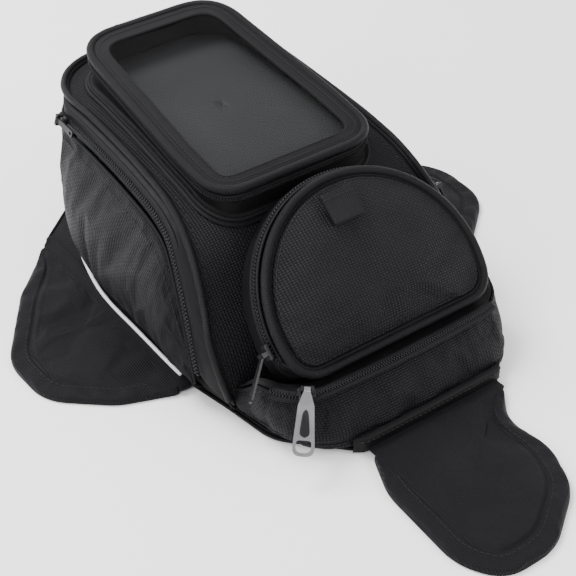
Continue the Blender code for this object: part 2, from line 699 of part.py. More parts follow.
def make_d_pocket(cloth):
    outline = d_outline()
    hinge = pivot("d_pocket_pivot", d_world((0, -D_CHORD)))
    inner = offset_outline(outline, -1.2)
    rows = [[d_world(p, -d_skirt(p)) for p in inner]]
    for share, lift in ((1.0, 0.0), (0.93, 0.42), (0.8, 0.72), (0.55, 0.93), (0.25, 1.0)):
        rows.append([d_world(Vector((p.x * share, p.y * share)), D_DOME * lift) for p in inner])
    width = len(inner)
    points = [p for row in rows for p in row] + [d_world((0, 0), D_DOME)]
    faces = []
    for r in range(len(rows) - 1):
        for c in range(width):
            d = (c + 1) % width
            faces.append((r * width + c, r * width + d, (r + 1) * width + d, (r + 1) * width + c))
    last = (len(rows) - 1) * width
    faces += [(last + c, last + (c + 1) % width, len(points) - 1) for c in range(width)]
    cover = add_object("d_pocket_cover", mesh_from("d_pocket_cover", points, faces), cloth["weave"], BAG)
    solid = cover.modifiers.new("thickness", "SOLIDIFY")
    solid.thickness = COVER_THICKNESS * MM
    solid.offset = -1.0
    solid.use_even_offset = True

    piping = cord("d_pocket_piping", [d_world(p, 0.6) for p in offset_outline(outline, D_PIPING_RADIUS)],
                  D_PIPING_RADIUS - 0.4, cloth["binding"], closed=True)

    half = LOOP_THICKNESS / 2
    loop_outline = rounded([(-half, 0, half), (half, 0, half), (half, LOOP_LENGTH, half),
                            (-half, LOOP_LENGTH, half)], 4)
    slot_end = LOOP_LENGTH - 3
    slot = rounded([(-0.7, 3, 0.6), (0.7, 3, 0.6), (0.7, slot_end, 0.6), (-0.7, slot_end, 0.6)], 2)
    lean = math.radians(9)
    foot = Matrix.Translation(Vector((-6, 47, D_DOME + 2.0)) * MM)
    stand = d_matrix() @ foot @ Matrix.Rotation(-lean, 4, "X")
    on_side = Matrix.Rotation(-math.pi / 2, 4, "Y")
    loop = flat_plate("webbing_loop", loop_outline, -LOOP_WIDTH / 2, LOOP_WIDTH, cloth["webbing"], holes=[slot],
                      plane=stand @ on_side)
    hang(hinge, cover, piping, loop)

    gusset = [d_flared(p) for p in outline]
    front = [d_world(p, -max(d_skirt(p), D_PIPING_RADIUS - 0.6) - GAP - 0.2) for p in gusset]
    back = []
    for p in gusset:
        room = (D_BACK_LIMIT_Y - d_world(p).y) / math.sin(D_SLOPE)
        back.append(d_world(p, -min(D_DEPTH, room)))
    rows = [[a.lerp(b, k) for a, b in zip(front, back)] for k in stations(0, 1, 3)]
    sheet_from_rows("d_pocket_gusset", rows[::-1], COVER_THICKNESS, cloth["nylon"], closed=True)

    arc = d_outline(30)[:31]
    path = [d_world(d_flared(p) * (1 + 0.5 / D_RADIUS), -D_SKIRT - 0.3) for p in arc]
    normals = [(d_world(p) - d_world((0, 0))).normalized() for p in arc]
    strip("d_pocket_zip", path, normals, NARROW_TAPE, cloth["zip"])


# ---------------------------------------------------------------- lower front pocket

def lower_path(edge, first, last, count):
    """Points along an edge of the lower pocket, between stations that are below zero on the left."""
    centre = Vector((LOWER_CENTRE_X, 0, 0))
    return [centre + mirror_x(spline_point(edge, abs(s)), 1 if s >= 0 else -1)
            for s in stations(first, last, count)]


def make_lower_pocket(cloth):
    last = len(LOWER_TOP_EDGE) - 1
    feet = [(x, y, WALL_FOOT_Z) for x, y in LOWER_FOOT_EDGE]
    tops = lower_path(LOWER_TOP_EDGE, last, -last, 19)
    foots = lower_path(feet, last, -last, 19)
    roofs = lower_path(LOWER_ROOF_EDGE, last, -last, 19)
    rows = []
    for v in stations(0, 1, 5):
        row = []
        for top, foot in zip(tops, foots):
            out = Vector((foot.x, foot.y + 90, 0)).normalized() * LOWER_BULGE * math.sin(math.pi * v)
            row.append(top.lerp(foot, v) + out)
        rows.append(row)
    sheet_from_rows("lower_pocket_face", rows, COVER_THICKNESS, cloth["weave"])
    rise = Vector((0, 0, 1.4))
    back = Vector((0, 2.0, 0))
    rows = [[roof.lerp(top + back, v) + rise for top, roof in zip(tops, roofs)] for v in stations(0, 1, 3)]
    sheet_from_rows("lower_pocket_roof", rows, 1.6, cloth["nylon"])

    path, normals = [], []
    for p in lower_path(LOWER_TOP_EDGE, *LOWER_ZIP_ENDS, 23):
        away = Vector((p.x, p.y + 90, 0)).normalized()
        path.append(p + away * 2.0 + Z_AXIS * 2.2)
        normals.append((away * 0.45 + Z_AXIS * 0.9).normalized())
    narrow = [(a * 0.55, b) for a, b in TAPE_PROFILE]
    strip("lower_pocket_zip", path, normals, narrow, cloth["zip"])

    centre = (TONGUE_ROOT_X, -146.4 - BAND_THICKNESS / 2, 0.3 + BAND_HEIGHT / 2)
    band = box("front_band", (2 * BAND_HALF_WIDTH, BAND_THICKNESS, BAND_HEIGHT), centre, cloth["nylon"], BAG)
    bevel = band.modifiers.new("round", "BEVEL")
    bevel.width = 0.8 * MM
    bevel.segments = 2
    return path, normals


# ---------------------------------------------------------------- flaps

def make_flap(label, outline, magnets, hinge_place, cloth):
    """Two skins with padding between them, and magnets let into the padding."""
    pieces = []
    for layer, z, thickness in FLAP_LAYERS:
        holes = []
        if layer == "padding":
            holes = [disc(place, MAGNET_RADIUS + 0.5) for place in magnets]
        key = {"lining": "grip", "padding": "foam", "top": "fine"}[layer]
        pieces.append(flat_plate(f"{label}_{layer}", outline, z, thickness, cloth[key], holes=holes))
    for number, place in enumerate(magnets, 1):
        pieces.append(flat_plate(f"{label}_magnet_{number}", disc(place, MAGNET_RADIUS), SKIN + 0.3, PADDING,
                                 cloth["magnet"]))
    hang(pivot(f"{label}_pivot", hinge_place), *pieces)


def disc(place, radius, sides=16):
    turn = 2 * math.pi / sides
    return [Vector((place[0] + radius * math.cos(k * turn), place[1] + radius * math.sin(k * turn)))
            for k in range(sides)]


def make_flaps(cloth):
    wing = rounded(WING)
    for side, label in ((1, "right"), (-1, "left")):
        outline = [Vector((side * p.x, p.y)) for p in wing]
        magnets = [(side * x, y) for x, y in WING_MAGNETS]
        make_flap(f"{label}_wing", outline, magnets, (side * WING_HINGE_X, 40, FLAP_MID_Z), cloth)
    make_flap("tongue", rounded(TONGUE), TONGUE_MAGNETS, (TONGUE_ROOT_X, TONGUE_HINGE_Y, FLAP_MID_Z), cloth)


# ---------------------------------------------------------------- sliders and pulls

def make_zip_hardware(label, place, along, normal, turn, angle, shape, thickness, metal, pull_metal,
                      parent=None):
    """Slider on its zip, with a pull that hangs at an angle from its pin."""
    frame = slider_frame(place, along, normal)
    slide = pivot(f"{label}_slider_pivot", None, frame)
    turn, angle = math.radians(turn), math.radians(angle)
    slider = make_slider(f"{label}_slider", frame, turn, metal)
    hinge = frame @ Matrix.Translation((0, 0, PIN_HEIGHT * MM)) @ Matrix.Rotation(turn, 4, "Z")
    pull = make_pull(f"{label}_pull", hinge @ Matrix.Rotation(angle, 4, "X"), *shape, thickness, pull_metal)
    swing = pivot(f"{label}_pull_pivot", None, hinge)
    hang(slide, slider)
    hang(swing, pull)
    hang(slide, swing)
    if parent:
        hang(parent, slide)


def make_hardware(side_zips, lower_zip, lid_pivot, cloth):
    dark, silver = cloth["dark_metal"], cloth["silver_metal"]
    for side, label in ((1, "right"), (-1, "left")):
        path, normals = side_zips[label]
        spot = SIDE_SLIDER_SPOT[label]
        make_zip_hardware(f"{label}_pocket", path[spot] + normals[spot] * SIDE_SLIDER_RISE,
                          path[spot + 1] - path[spot - 1], normals[spot], -90, 2, slim_pull(SIDE_PULL_LENGTH),
                          SLIM_PULL_THICKNESS, dark, dark)

    path, normals = lower_zip
    spot = LOWER_SLIDER_SPOT
    make_zip_hardware("lower_pocket", path[spot] + normals[spot] * LOWER_SLIDER_RISE,
                      path[spot - 1] - path[spot + 1], normals[spot], LOWER_PULL_TURN, LOWER_PULL_ANGLE,
                      wide_pull(LOWER_PULL_LENGTH, LOWER_PULL_HALF_WIDTH), LOWER_PULL_THICKNESS, dark, silver)

    out = spoke(math.radians(D_SLIDER_ANGLE))
    place = d_world(d_flared(Vector((0, 0))) + out * (D_RADIUS * (1 + D_FLARE) + D_SLIDER_RISE), -D_SKIRT - 0.3)
    normal = d_world(out) - d_world((0, 0))
    along = d_world((out.y, -out.x)) - d_world((0, 0))
    make_zip_hardware("d_pocket", place, along, normal, -90, D_PULL_ANGLE, slim_pull(D_PULL_LENGTH),
                      D_PULL_THICKNESS, dark, dark)

    x, y = WINDOW_SLIDER
    make_zip_hardware("window", (x, y, rim_height(RIM_BACK_Y) - WINDOW_ZIP_DROP), Vector((1, 0, 0)),
                      Vector((0, 1, 0)), 90, -2, slim_pull(SHORT_PULL_LENGTH),
                      SLIM_PULL_THICKNESS, dark, dark, lid_pivot)
    x, y = LID_SLIDER
    make_zip_hardware("lid", (x, y, top_height(y) + LID_SLIDER_RISE), Vector(LID_RUN), Z_AXIS.copy(),
                      -90, -4, slim_pull(SHORT_PULL_LENGTH), SLIM_PULL_THICKNESS, dark, dark)


def main():
    cloth = {
        "weave": new_material("coarse_weave", (0.016, 0.016, 0.018), 0.75),
        "nylon": new_material("smooth_nylon", (0.018, 0.017, 0.020), 0.6),
        "binding": new_material("binding_tape", (0.014, 0.014, 0.016), 0.55),
        "fine": new_material("fine_weave", (0.020, 0.020, 0.022), 0.8),
        "grip": new_material("grip_lining", (0.022, 0.022, 0.022), 0.9),
        "foam": new_material("foam_padding", (0.08, 0.08, 0.08), 0.95),
        "board": new_material("stiffener_board", (0.03, 0.03, 0.03), 0.5),
        "film": new_material("clear_film", (0.55, 0.56, 0.55), 0.12),
        "zip": new_material("zip_coil", (0.02, 0.02, 0.022), 0.45),
        "webbing": new_material("webbing", (0.02, 0.02, 0.02), 0.7),
        "reflective": new_material("reflective_cord", (0.75, 0.75, 0.77), 0.35),
        "dark_metal": new_material("dark_metal", (0.05, 0.05, 0.05), 0.35, 0.9),
        "silver_metal": new_material("silver_metal", (0.78, 0.78, 0.80), 0.22, 1.0),
        "magnet": new_material("ferrite_magnet", (0.06, 0.06, 0.065), 0.5, 0.3),
    }
    make_base(cloth)
    make_body(cloth)
    side_zips = {label: make_side_pocket(side, label, cloth) for side, label in ((1, "right"), (-1, "left"))}
    lid_pivot = make_pouch(cloth)
    make_d_pocket(cloth)
    lower_zip = make_lower_pocket(cloth)
    make_flaps(cloth)
    make_hardware(side_zips, lower_zip, lid_pivot, cloth)


clear_scene()
BAG = new_collection("tank_bag")
CUTTERS = new_collection("cutters")
main()
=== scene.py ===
"""Looks of the magnetic motorcycle tank bag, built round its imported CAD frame."""
import bisect
import math

import bmesh
import bpy
from mathutils import Matrix, Vector, noise
from mathutils.bvhtree import BVHTree


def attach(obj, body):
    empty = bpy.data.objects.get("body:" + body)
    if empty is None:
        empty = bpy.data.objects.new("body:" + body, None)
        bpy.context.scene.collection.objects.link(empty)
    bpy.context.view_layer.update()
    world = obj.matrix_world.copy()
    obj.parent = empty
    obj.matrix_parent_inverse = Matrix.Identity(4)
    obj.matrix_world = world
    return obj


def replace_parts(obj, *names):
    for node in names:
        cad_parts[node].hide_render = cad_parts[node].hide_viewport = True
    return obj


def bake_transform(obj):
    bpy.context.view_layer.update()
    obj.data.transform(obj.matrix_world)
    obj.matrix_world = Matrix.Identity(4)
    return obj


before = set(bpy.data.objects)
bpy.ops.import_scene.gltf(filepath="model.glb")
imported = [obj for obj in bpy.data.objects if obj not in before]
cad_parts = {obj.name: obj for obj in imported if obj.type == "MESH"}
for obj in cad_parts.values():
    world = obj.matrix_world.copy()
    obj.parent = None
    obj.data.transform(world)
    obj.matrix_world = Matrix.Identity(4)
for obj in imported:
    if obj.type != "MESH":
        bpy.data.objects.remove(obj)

MM = 0.001
Z_AXIS = Vector((0, 0, 1))
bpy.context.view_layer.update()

# Shape of the bag in millimetres, as its frame has it.
TOP_EDGE = [(90, -80, 10), (93.5, -73, 30), (93, -62, 48), (88, -50, 62), (82, -32, 81), (78, -16, 92),
            (75, 0, 98), (73, 20, 102), (71, 60, 105.5), (70, 100, 107), (69.5, 130, 106.5),
            (64, 147, 106), (52, 160, 106), (34, 167, 106), (0, 169, 106)]
FOOT_EDGE = [(87, -80), (89, -72), (91, -62), (93, -50), (95.5, -34), (96, -16), (96, 0), (96, 20),
             (96, 50), (93, 75), (84, 108), (72, 127), (57, 141), (36, 152), (0, 157)]
LAST = len(TOP_EDGE) - 1
BACK_SEAM = 10
TOP_CROWN = 2.0
TOP_THICKNESS = 3.0
WALL_FOOT_Z = 5.0
TOP_PIPING_RADIUS = 2.2
REFLECTIVE_RADIUS = 1.3
POCKET_FRONT, POCKET_BACK = 2.6, 10.1
POCKET_FOOT = 0.92
POCKET_BULGE = 13.0
ZIP_STAND_OFF = 7.0
FOOT_STAND_OFF = 1.6
RIM_HALF = [(58.5, -21.5, 42), (58.5, 25, 40), (52, 149, 28)]
RIM_FRONT_Y = -21.5
RIM_FRONT_Z = 112.0
RIM_TILT = math.radians(7)
LID_OPENING_HALF = [(45, 2, 18), (45, 136, 18)]
D_CENTRE = Vector((5, -94.4, 60.6))
D_SLOPE = math.radians(45)
D_RADIUS = 70.5
D_CHORD = 24.5
D_CORNER = 14.0
D_DOME = 11.0
D_SKIRT = 8.0
D_DEPTH = 25.0
D_FLARE = 0.05
D_BACK_LIMIT_Y = -28.0
LOOP_SPOT = Vector((-6, 47))
LOWER_TOP_EDGE = [(0, -123, 34), (40, -122.5, 34), (62, -121, 34), (76, -114, 34), (85, -100, 34.5),
                  (91, -79, 36)]
LOWER_FOOT_EDGE = [(0, -144), (38, -143.5), (56, -141.5), (71, -132), (81, -115), (88, -86)]
LOWER_ROOF_EDGE = [(0, -112, 33.5), (40, -112, 33.5), (60, -111, 33.5), (75, -103, 35), (81, -94, 38),
                   (84, -74, 41)]
LOWER_CENTRE_X = 3.0
LOWER_PULL_HINGE = (-68.46, -122.49, 44.39)
UNDERSIDE_THICKNESS = 2.0
LOWER_ZIP_ENDS = (2.3, -3.7)
BASE_HALF = [(45, -145.8, 20), (82, -108, 30), (88, -72, 40), (96, -34, 30), (96, 137, 5), (64, 164, 12),
             (40, 157, 30)]
WING_FOLD_X = 102.8
TONGUE_FOLD_Y = -153.2
WING = [(WING_FOLD_X, -45, 4), (140, -31, 40), (174, -2, 34), (176, 40, 40), (140, 93, 60), (WING_FOLD_X, 130, 3)]
WING_MAGNETS = [(137, 6), (130, 72)]
TONGUE = [(-44, TONGUE_FOLD_Y, 4), (-55, -180, 40), (-57, -240, 40), (-42, -263.5, 25), (-6, -263.5, 40),
          (32, -237, 40), (43, -208, 40), (39, -176, 25), (56, TONGUE_FOLD_Y, 4)]
TONGUE_MAGNETS = [(-26, -195), (24, -195)]
FLAP_HEM = 12.0
FLAP_PARTS = ("lining", "padding", "top", "magnet_1", "magnet_2")
SIDES = ((1, "right"), (-1, "left"))


# ---------------------------------------------------------------- small maths

def spline_point(points, s):
    last = len(points) - 1
    i = min(max(int(math.floor(s)), 0), last - 1)
    u = s - i
    p1, p2 = Vector(points[i]), Vector(points[i + 1])
    p0 = Vector(points[i - 1]) if i > 0 else 2 * p1 - p2
    p3 = Vector(points[i + 2]) if i + 2 <= last else 2 * p2 - p1
    return 0.5 * (2 * p1 + (p2 - p0) * u + (2 * p0 - 5 * p1 + 4 * p2 - p3) * u ** 2
                  + (3 * p1 - p0 - 3 * p2 + p3) * u ** 3)


def stations(first, last, count):
    return [first + (last - first) * i / (count - 1) for i in range(count)]


def smoothstep(value, low=0.0, high=1.0):
    value = min(max((value - low) / (high - low), 0.0), 1.0)
    return value * value * (3 - 2 * value)


def mirror_x(point, side):
    return Vector((side * point[0], *point[1:]))


def wave(point, scale, seed=0.0):
    """Smooth noise between about -1 and 1 at a place in millimetres."""
    return noise.noise(Vector(point) / scale + Vector((seed, 2.3 * seed, -seed)))


def rounded(corners, steps=8):
    outline = []
    count = len(corners)
    for i, (x, y, radius) in enumerate(corners):
        corner = Vector((x, y))
        before = Vector(corners[i - 1][:2]) - corner
        after = Vector(corners[(i + 1) % count][:2]) - corner
        reach = min(radius / math.tan(before.angle(after) / 2), 0.49 * min(before.length, after.length))
        start = corner + before.normalized() * reach
        end = corner + after.normalized() * reach
        for k in range(steps + 1):
            t = k / steps
            outline.append((1 - t) ** 2 * start + 2 * t * (1 - t) * corner + t * t * end)
    return outline


def raised(p, z):
    """The place of p at another height."""
    return Vector((p.x, p.y, z))


def mirrored(path):
    """A path from the right side to the middle, and on round the left side."""
    return path + [mirror_x(p, -1) for p in reversed(path[:-1])]


def chord(path, i, closed=False):
    """From the point before a path's point to the one after it."""
    ahead = path[(i + 1) % len(path)] if closed or i + 1 < len(path) else path[i]
    return ahead - (path[i - 1] if closed or i else path[i])


def along_path(points):
    """Distance of each point from the path's start."""
    lengths = [0.0]
    for a, b in zip(points, points[1:]):
        lengths.append(lengths[-1] + (b - a).length)
    return lengths


def both_halves(half):
    return [*half, *[(-x, y, r) for x, y, r in reversed(half)]]


def resample(path, pitch, closed=False):
    """Points at an even pitch along a path of vectors."""
    points = [*path, path[0]] if closed else list(path)
    lengths = along_path(points)
    count = max(2, round(lengths[-1] / pitch))
    result = []
    k = 0
    for i in range(count + (0 if closed else 1)):
        goal = lengths[-1] * i / count
        while k < len(points) - 2 and lengths[k + 1] < goal:
            k += 1
        span = max(lengths[k + 1] - lengths[k], 1e-9)
        result.append(points[k].lerp(points[k + 1], min(max((goal - lengths[k]) / span, 0), 1)))
    return result


def offset_outline(outline, distance):
    tangents = [chord(outline, i, True).normalized() for i in range(len(outline))]
    return [p + Vector((t.y, -t.x)) * distance for p, t in zip(outline, tangents)]


def smooth_loop(values, rounds=3):
    for _ in range(rounds):
        values = [(values[i - 1] + values[i] * 2 + values[(i + 1) % len(values)]) / 4
                  for i in range(len(values))]
    return values


# ---------------------------------------------------------------- materials

class Nodes:
    """Short hand for wiring a material's node tree."""

    def __init__(self, name):
        self.material = bpy.data.materials.new(name)
        self.material.use_nodes = True
        self.tree = self.material.node_tree
        self.shader = self.tree.nodes["Principled BSDF"]

    def add(self, kind):
        return self.tree.nodes.new(kind)

    def put(self, socket, value):
        if hasattr(value, "is_output"):
            self.tree.links.new(value, socket)
        else:
            socket.default_value = value

    def math(self, operation, a, b=0.0, clamp=False):
        node = self.add("ShaderNodeMath")
        node.operation = operation
        node.use_clamp = clamp
        self.put(node.inputs[0], a)
        self.put(node.inputs[1], b)
        return node.outputs[0]

    def scaled(self, value, factor, base=0.0, clamp=False):
        """base + value * factor"""
        if base:
            return self.math("ADD", base, self.math("MULTIPLY", value, factor))
        return self.math("MULTIPLY", value, factor, clamp)

    def centred(self, value, middle, factor, base=0.0, clamp=False):
        """base + (value - middle) * factor"""
        return self.scaled(self.math("SUBTRACT", value, middle), factor, base, clamp)

    def sine(self, value, pitch):
        return self.math("SINE", self.math("MULTIPLY", value, math.pi / pitch))

    def ridges(self, value, pitch):
        return self.math("ABSOLUTE", self.sine(value, pitch))

    def mix(self, factor, a, b, kind="FLOAT", first=2, result=0):
        """Number between a and b."""
        node = self.add("ShaderNodeMix")
        node.data_type = kind
        for socket, value in ((0, factor), (first, a), (first + 1, b)):
            self.put(node.inputs[socket], value)
        return node.outputs[result]

    def mix_colour(self, factor, a, b):
        return self.mix(factor, a, b, "RGBA", 6, 2)

    def uv(self):
        node = self.add("ShaderNodeTexCoord")
        parts = self.add("ShaderNodeSeparateXYZ")
        self.put(parts.inputs[0], node.outputs["UV"])
        return parts.outputs[0], parts.outputs[1]

    def noise(self, scale, detail=3.0):
        place = self.add("ShaderNodeTexCoord")
        node = self.add("ShaderNodeTexNoise")
        node.inputs["Scale"].default_value = scale
        node.inputs["Detail"].default_value = detail
        self.put(node.inputs["Vector"], place.outputs["Object"])
        return node.outputs["Fac"]

    def bump(self, height, distance, strength=1.0, under=None):
        node = self.add("ShaderNodeBump")
        node.inputs["Strength"].default_value = strength
        node.inputs["Distance"].default_value = distance
        self.put(node.inputs["Height"], height)
        if under:
            self.put(node.inputs["Normal"], under)
        return node.outputs[0]

    def set(self, **values):
        for name, value in values.items():
            self.put(self.shader.inputs[name.replace("_", " ")], value)


WEAR = 0.18
SHEEN_TINT = (0.86, 0.84, 1.0, 1)


def weave_height(n, pitch_u, pitch_v):
    """Over-and-under weave of round threads, from 0 in the gaps to 1 on the threads."""
    u, v = n.uv()
    su, sv = n.sine(u, pitch_u), n.sine(v, pitch_v)
    au, av = n.math("ABSOLUTE", su), n.math("ABSOLUTE", sv)
    over = n.math("GREATER_THAN", n.math("MULTIPLY", su, sv), 0.0)
    warp = n.math("MULTIPLY", au, n.scaled(av, 0.55, 0.45))
    weft = n.scaled(n.math("MULTIPLY", av, n.scaled(au, 0.55, 0.45)), 0.75)
    return n.mix(over, weft, warp)


def cloth_material(name, shaded_gap, light, pitch, depth=0.0003, rough=(0.62, 0.42), sheen=0.25, strength=0.9,
                   specular=0.12):
    """Woven cloth: painted shade in the weave gaps and painted light on the thread crests, slow colour variation,
    dusty wear and a soft sheen.
    """
    n = Nodes(name)
    height = weave_height(n, *pitch)
    slow = n.noise(18.0, 4.0)
    fine = n.noise(420.0, 2.0)
    # Painted shade and light: the weave height blends the gap colour (painted shade) into the crest colour, light
    # (painted light on the threads).
    body = n.mix_colour(height, (*shaded_gap, 1), (*light, 1))
    dust = tuple(c * 1.9 + 0.004 for c in light)
    spread = n.centred(slow, 0.42, WEAR * 2.2, clamp=True)
    n.set(Base_Color=n.mix_colour(spread, body, (*dust, 1)))
    n.set(Roughness=n.centred(fine, 0.5, 0.22, n.mix(height, *rough)))
    n.set(Normal=n.bump(n.scaled(fine, 0.35, height), depth, strength, n.bump(slow, 0.0012, 0.25)))
    n.set(Sheen_Weight=sheen * 0.05, Sheen_Roughness=0.45, Sheen_Tint=SHEEN_TINT, Specular_IOR_Level=specular)
    return n.material


def rib_material(name, shaded_gap, light, pitch, depth=0.00025, rough=0.5):
    """Ribbed tape: ridges across its length with a fine thread texture, painted shade between the ridges and painted
    light on their crests.
    """
    n = Nodes(name)
    u, v = n.uv()
    ridge = n.ridges(u, pitch)
    height = n.scaled(n.ridges(v, pitch * 0.62), 0.4, ridge)
    slow = n.noise(30.0, 3.0)
    # Painted shade and light: the ridge height blends the trough colour (painted shade) into the crest colour, light
    # (painted light on the ridges).
    body = n.mix_colour(ridge, (*shaded_gap, 1), (*light, 1))
    dust = tuple(c * 1.7 + 0.003 for c in light)
    n.set(Base_Color=n.mix_colour(n.centred(slow, 0.45, 0.8, clamp=True), body, (*dust, 1)))
    n.set(Roughness=n.centred(slow, 0.5, 0.25, rough))
    n.set(Normal=n.bump(height, depth, 0.8, n.bump(slow, 0.0009, 0.25)))
    n.set(Sheen_Weight=0.0125, Sheen_Roughness=0.4, Sheen_Tint=SHEEN_TINT, Specular_IOR_Level=0.13)
    return n.material


def metal_material(name, colour, rough, metallic=1.0):
    n = Nodes(name)
    fine = n.noise(900.0, 4.0)
    slow = n.noise(70.0, 3.0)
    rub = tuple(min(c * 1.7 + 0.03, 1.0) for c in colour)
    n.set(Base_Color=n.mix_colour(n.centred(slow, 0.5, 1.4, clamp=True), (*colour, 1), (*rub, 1)))
    n.set(Roughness=n.scaled(fine, 0.12, rough), Metallic=metallic)
    n.set(Normal=n.bump(fine, 0.00004, 0.5))
    return n.material


def plastic_material(name, colour, rough, grain=0.00005):
    n = Nodes(name)
    fine = n.noise(600.0, 3.0)
    n.set(Base_Color=n.mix_colour(fine, (*colour, 1), (*[c * 1.5 for c in colour], 1)))
    n.set(Roughness=n.scaled(fine, 0.15, rough), Normal=n.bump(fine, grain, 0.6), Specular_IOR_Level=0.25)
    return n.material


def film_material():
    """Clear soft film: mostly see-through, with a faint haze, fine scuffs and shallow ripples."""
    n = Nodes("clear_film")
    ripple = n.noise(26.0, 2.0)
    scuff = n.noise(300.0, 3.0)
    normal = n.bump(ripple, 0.0010, 0.5)
    clear = n.add("ShaderNodeBsdfTransparent")
    clear.inputs["Color"].default_value = (0.93, 0.94, 0.94, 1)
    n.set(Base_Color=(0.01, 0.01, 0.0105, 1), IOR=1.45, Specular_IOR_Level=0.5, Normal=normal)
    n.set(Roughness=n.scaled(scuff, 0.06, 0.13))
    rim = n.add("ShaderNodeLayerWeight")
    rim.inputs["Blend"].default_value = 0.18
    n.put(rim.inputs["Normal"], normal)
    mix = n.add("ShaderNodeMixShader")
    share = n.math("ADD", 0.08, n.math("MULTIPLY", rim.outputs["Facing"], 0.4), clamp=True)
    for socket, value in zip(mix.inputs, (share, clear.outputs[0], n.shader.outputs[0])):
        n.put(socket, value)
    n.put(n.tree.nodes["Material Output"].inputs["Surface"], mix.outputs[0])
    return n.material


def grip_material():
    """Soft non-slip lining with small raised dots, which carry painted light."""
    n = Nodes("grip_lining")
    u, v = n.uv()
    dots = n.math("MULTIPLY", n.sine(u, 2.2), n.sine(v, 2.2))
    bead = n.math("SUBTRACT", n.math("ABSOLUTE", dots), 0.45, clamp=True)
    fine = n.noise(500.0, 3.0)
    # Painted light: the bead height colours the raised dots lighter than the ground between them.
    n.set(Base_Color=n.mix_colour(bead, (0.004, 0.004, 0.0045, 1), (0.012, 0.012, 0.013, 1)))
    n.set(Roughness=n.scaled(fine, 0.25, 0.6))
    n.set(Normal=n.bump(n.scaled(fine, 0.1, bead), 0.0006, 0.9), Sheen_Weight=0.1)
    return n.material


def reflective_material():
    """Silver reflective binding: fine glass beads on a woven ground."""
    n = Nodes("reflective_cord")
    bead = n.noise(1500.0, 2.0)
    rib = n.ridges(n.uv()[0], 0.9)
    n.set(Base_Color=n.mix_colour(bead, (0.62, 0.62, 0.66, 1), (0.95, 0.95, 0.98, 1)))
    n.set(Roughness=n.scaled(bead, 0.2, 0.35), Metallic=0.25)
    n.set(Normal=n.bump(n.math("ADD", rib, bead), 0.00012, 0.6), Sheen_Weight=0.3)
    return n.material


# For each cloth and ribbed tape, the first colour is painted shade for its gaps or troughs and the second is painted
# light for its thread or ridge crests.
MAT = {
    "coarse": cloth_material("coarse_weave", (0.0006, 0.0006, 0.0007), (0.0108, 0.0102, 0.0127), (1.95, 1.5),
                             depth=0.0006, rough=(0.75, 0.42), sheen=0.3, strength=1.0, specular=0.13),
    "ribbed": cloth_material("ribbed_weave", (0.0006, 0.0006, 0.0007), (0.0118, 0.0112, 0.0141), (1.8, 1.3),
                             depth=0.0006, rough=(0.75, 0.38), sheen=0.35, strength=1.0, specular=0.15),
    "nylon": cloth_material("smooth_nylon", (0.0016, 0.0015, 0.0018), (0.0040, 0.0038, 0.0047), (0.5, 0.5),
                            depth=0.00008, rough=(0.58, 0.5), sheen=0.2, strength=0.5),
    "fine": cloth_material("fine_weave", (0.0010, 0.0010, 0.0012), (0.0075, 0.0072, 0.0089), (1.5, 1.0),
                           depth=0.0004, rough=(0.68, 0.46), sheen=0.3, specular=0.11),
    "binding": rib_material("binding_tape", (0.0016, 0.0015, 0.0019), (0.0048, 0.0046, 0.0058), 0.9, rough=0.46),
    "webbing": rib_material("webbing", (0.002, 0.0019, 0.0023), (0.0085, 0.008, 0.010), 1.3, depth=0.0004),
    "tape": rib_material("zip_tape", (0.0015, 0.0014, 0.0018), (0.0055, 0.0052, 0.0066), 0.7, depth=0.00012),
    "teeth": plastic_material("zip_coil", (0.0060, 0.0058, 0.0068), 0.36),
    "thread": plastic_material("sewing_thread", (0.007, 0.0067, 0.008), 0.55, 0.0001),
    "grip": grip_material(),
    "film": film_material(),
    "reflective": reflective_material(),
    "dark_metal": metal_material("dark_metal", (0.012, 0.012, 0.0135), 0.34, 0.6),
    "silver": metal_material("silver_metal", (0.30, 0.30, 0.315), 0.2),
    "board": plastic_material("stiffener_board", (0.02, 0.02, 0.021), 0.5, 0.0002),
    "lining": cloth_material("pouch_lining", (0.020, 0.020, 0.021), (0.030, 0.030, 0.0315), (0.5, 0.5),
                             depth=0.00002, rough=(0.7, 0.6), sheen=0.15, strength=0.5),
}


# ---------------------------------------------------------------- makers of cloth

PIECES = bpy.data.collections.new("looks")
bpy.context.scene.collection.children.link(PIECES)


def piece(name, points, faces, uvs, look, body):
    """Mesh object in millimetres, with a UV in millimetres for every corner of its faces."""
    mesh = bpy.data.meshes.new(name)
    mesh.from_pydata([Vector(p) * MM for p in points], [], faces)
    layer = mesh.uv_layers.new(name="UVMap")
    layer.data.foreach_set("uv", [c for corner in uvs for c in corner])
    mesh.update()
    mesh.shade_smooth()
    obj = bpy.data.objects.new(name, mesh)
    PIECES.objects.link(obj)
    mesh.materials.append(MAT[look])
    if body:
        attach(obj, body)
    return obj


def grid_uv(rows):
    """UV of each grid point: distance along its row from the middle column, and along that column."""
    width = len(rows[0])
    middle = width // 2
    table = []
    down = 0.0
    for r, row in enumerate(rows):
        if r:
            down += (row[middle] - rows[r - 1][middle]).length
        u = [0.0] * width
        for c in range(middle + 1, width):
            u[c] = u[c - 1] + (row[c] - row[c - 1]).length
        for c in range(middle - 1, -1, -1):
            u[c] = u[c + 1] - (row[c] - row[c + 1]).length
        table.append([(value, down) for value in u])
    return table


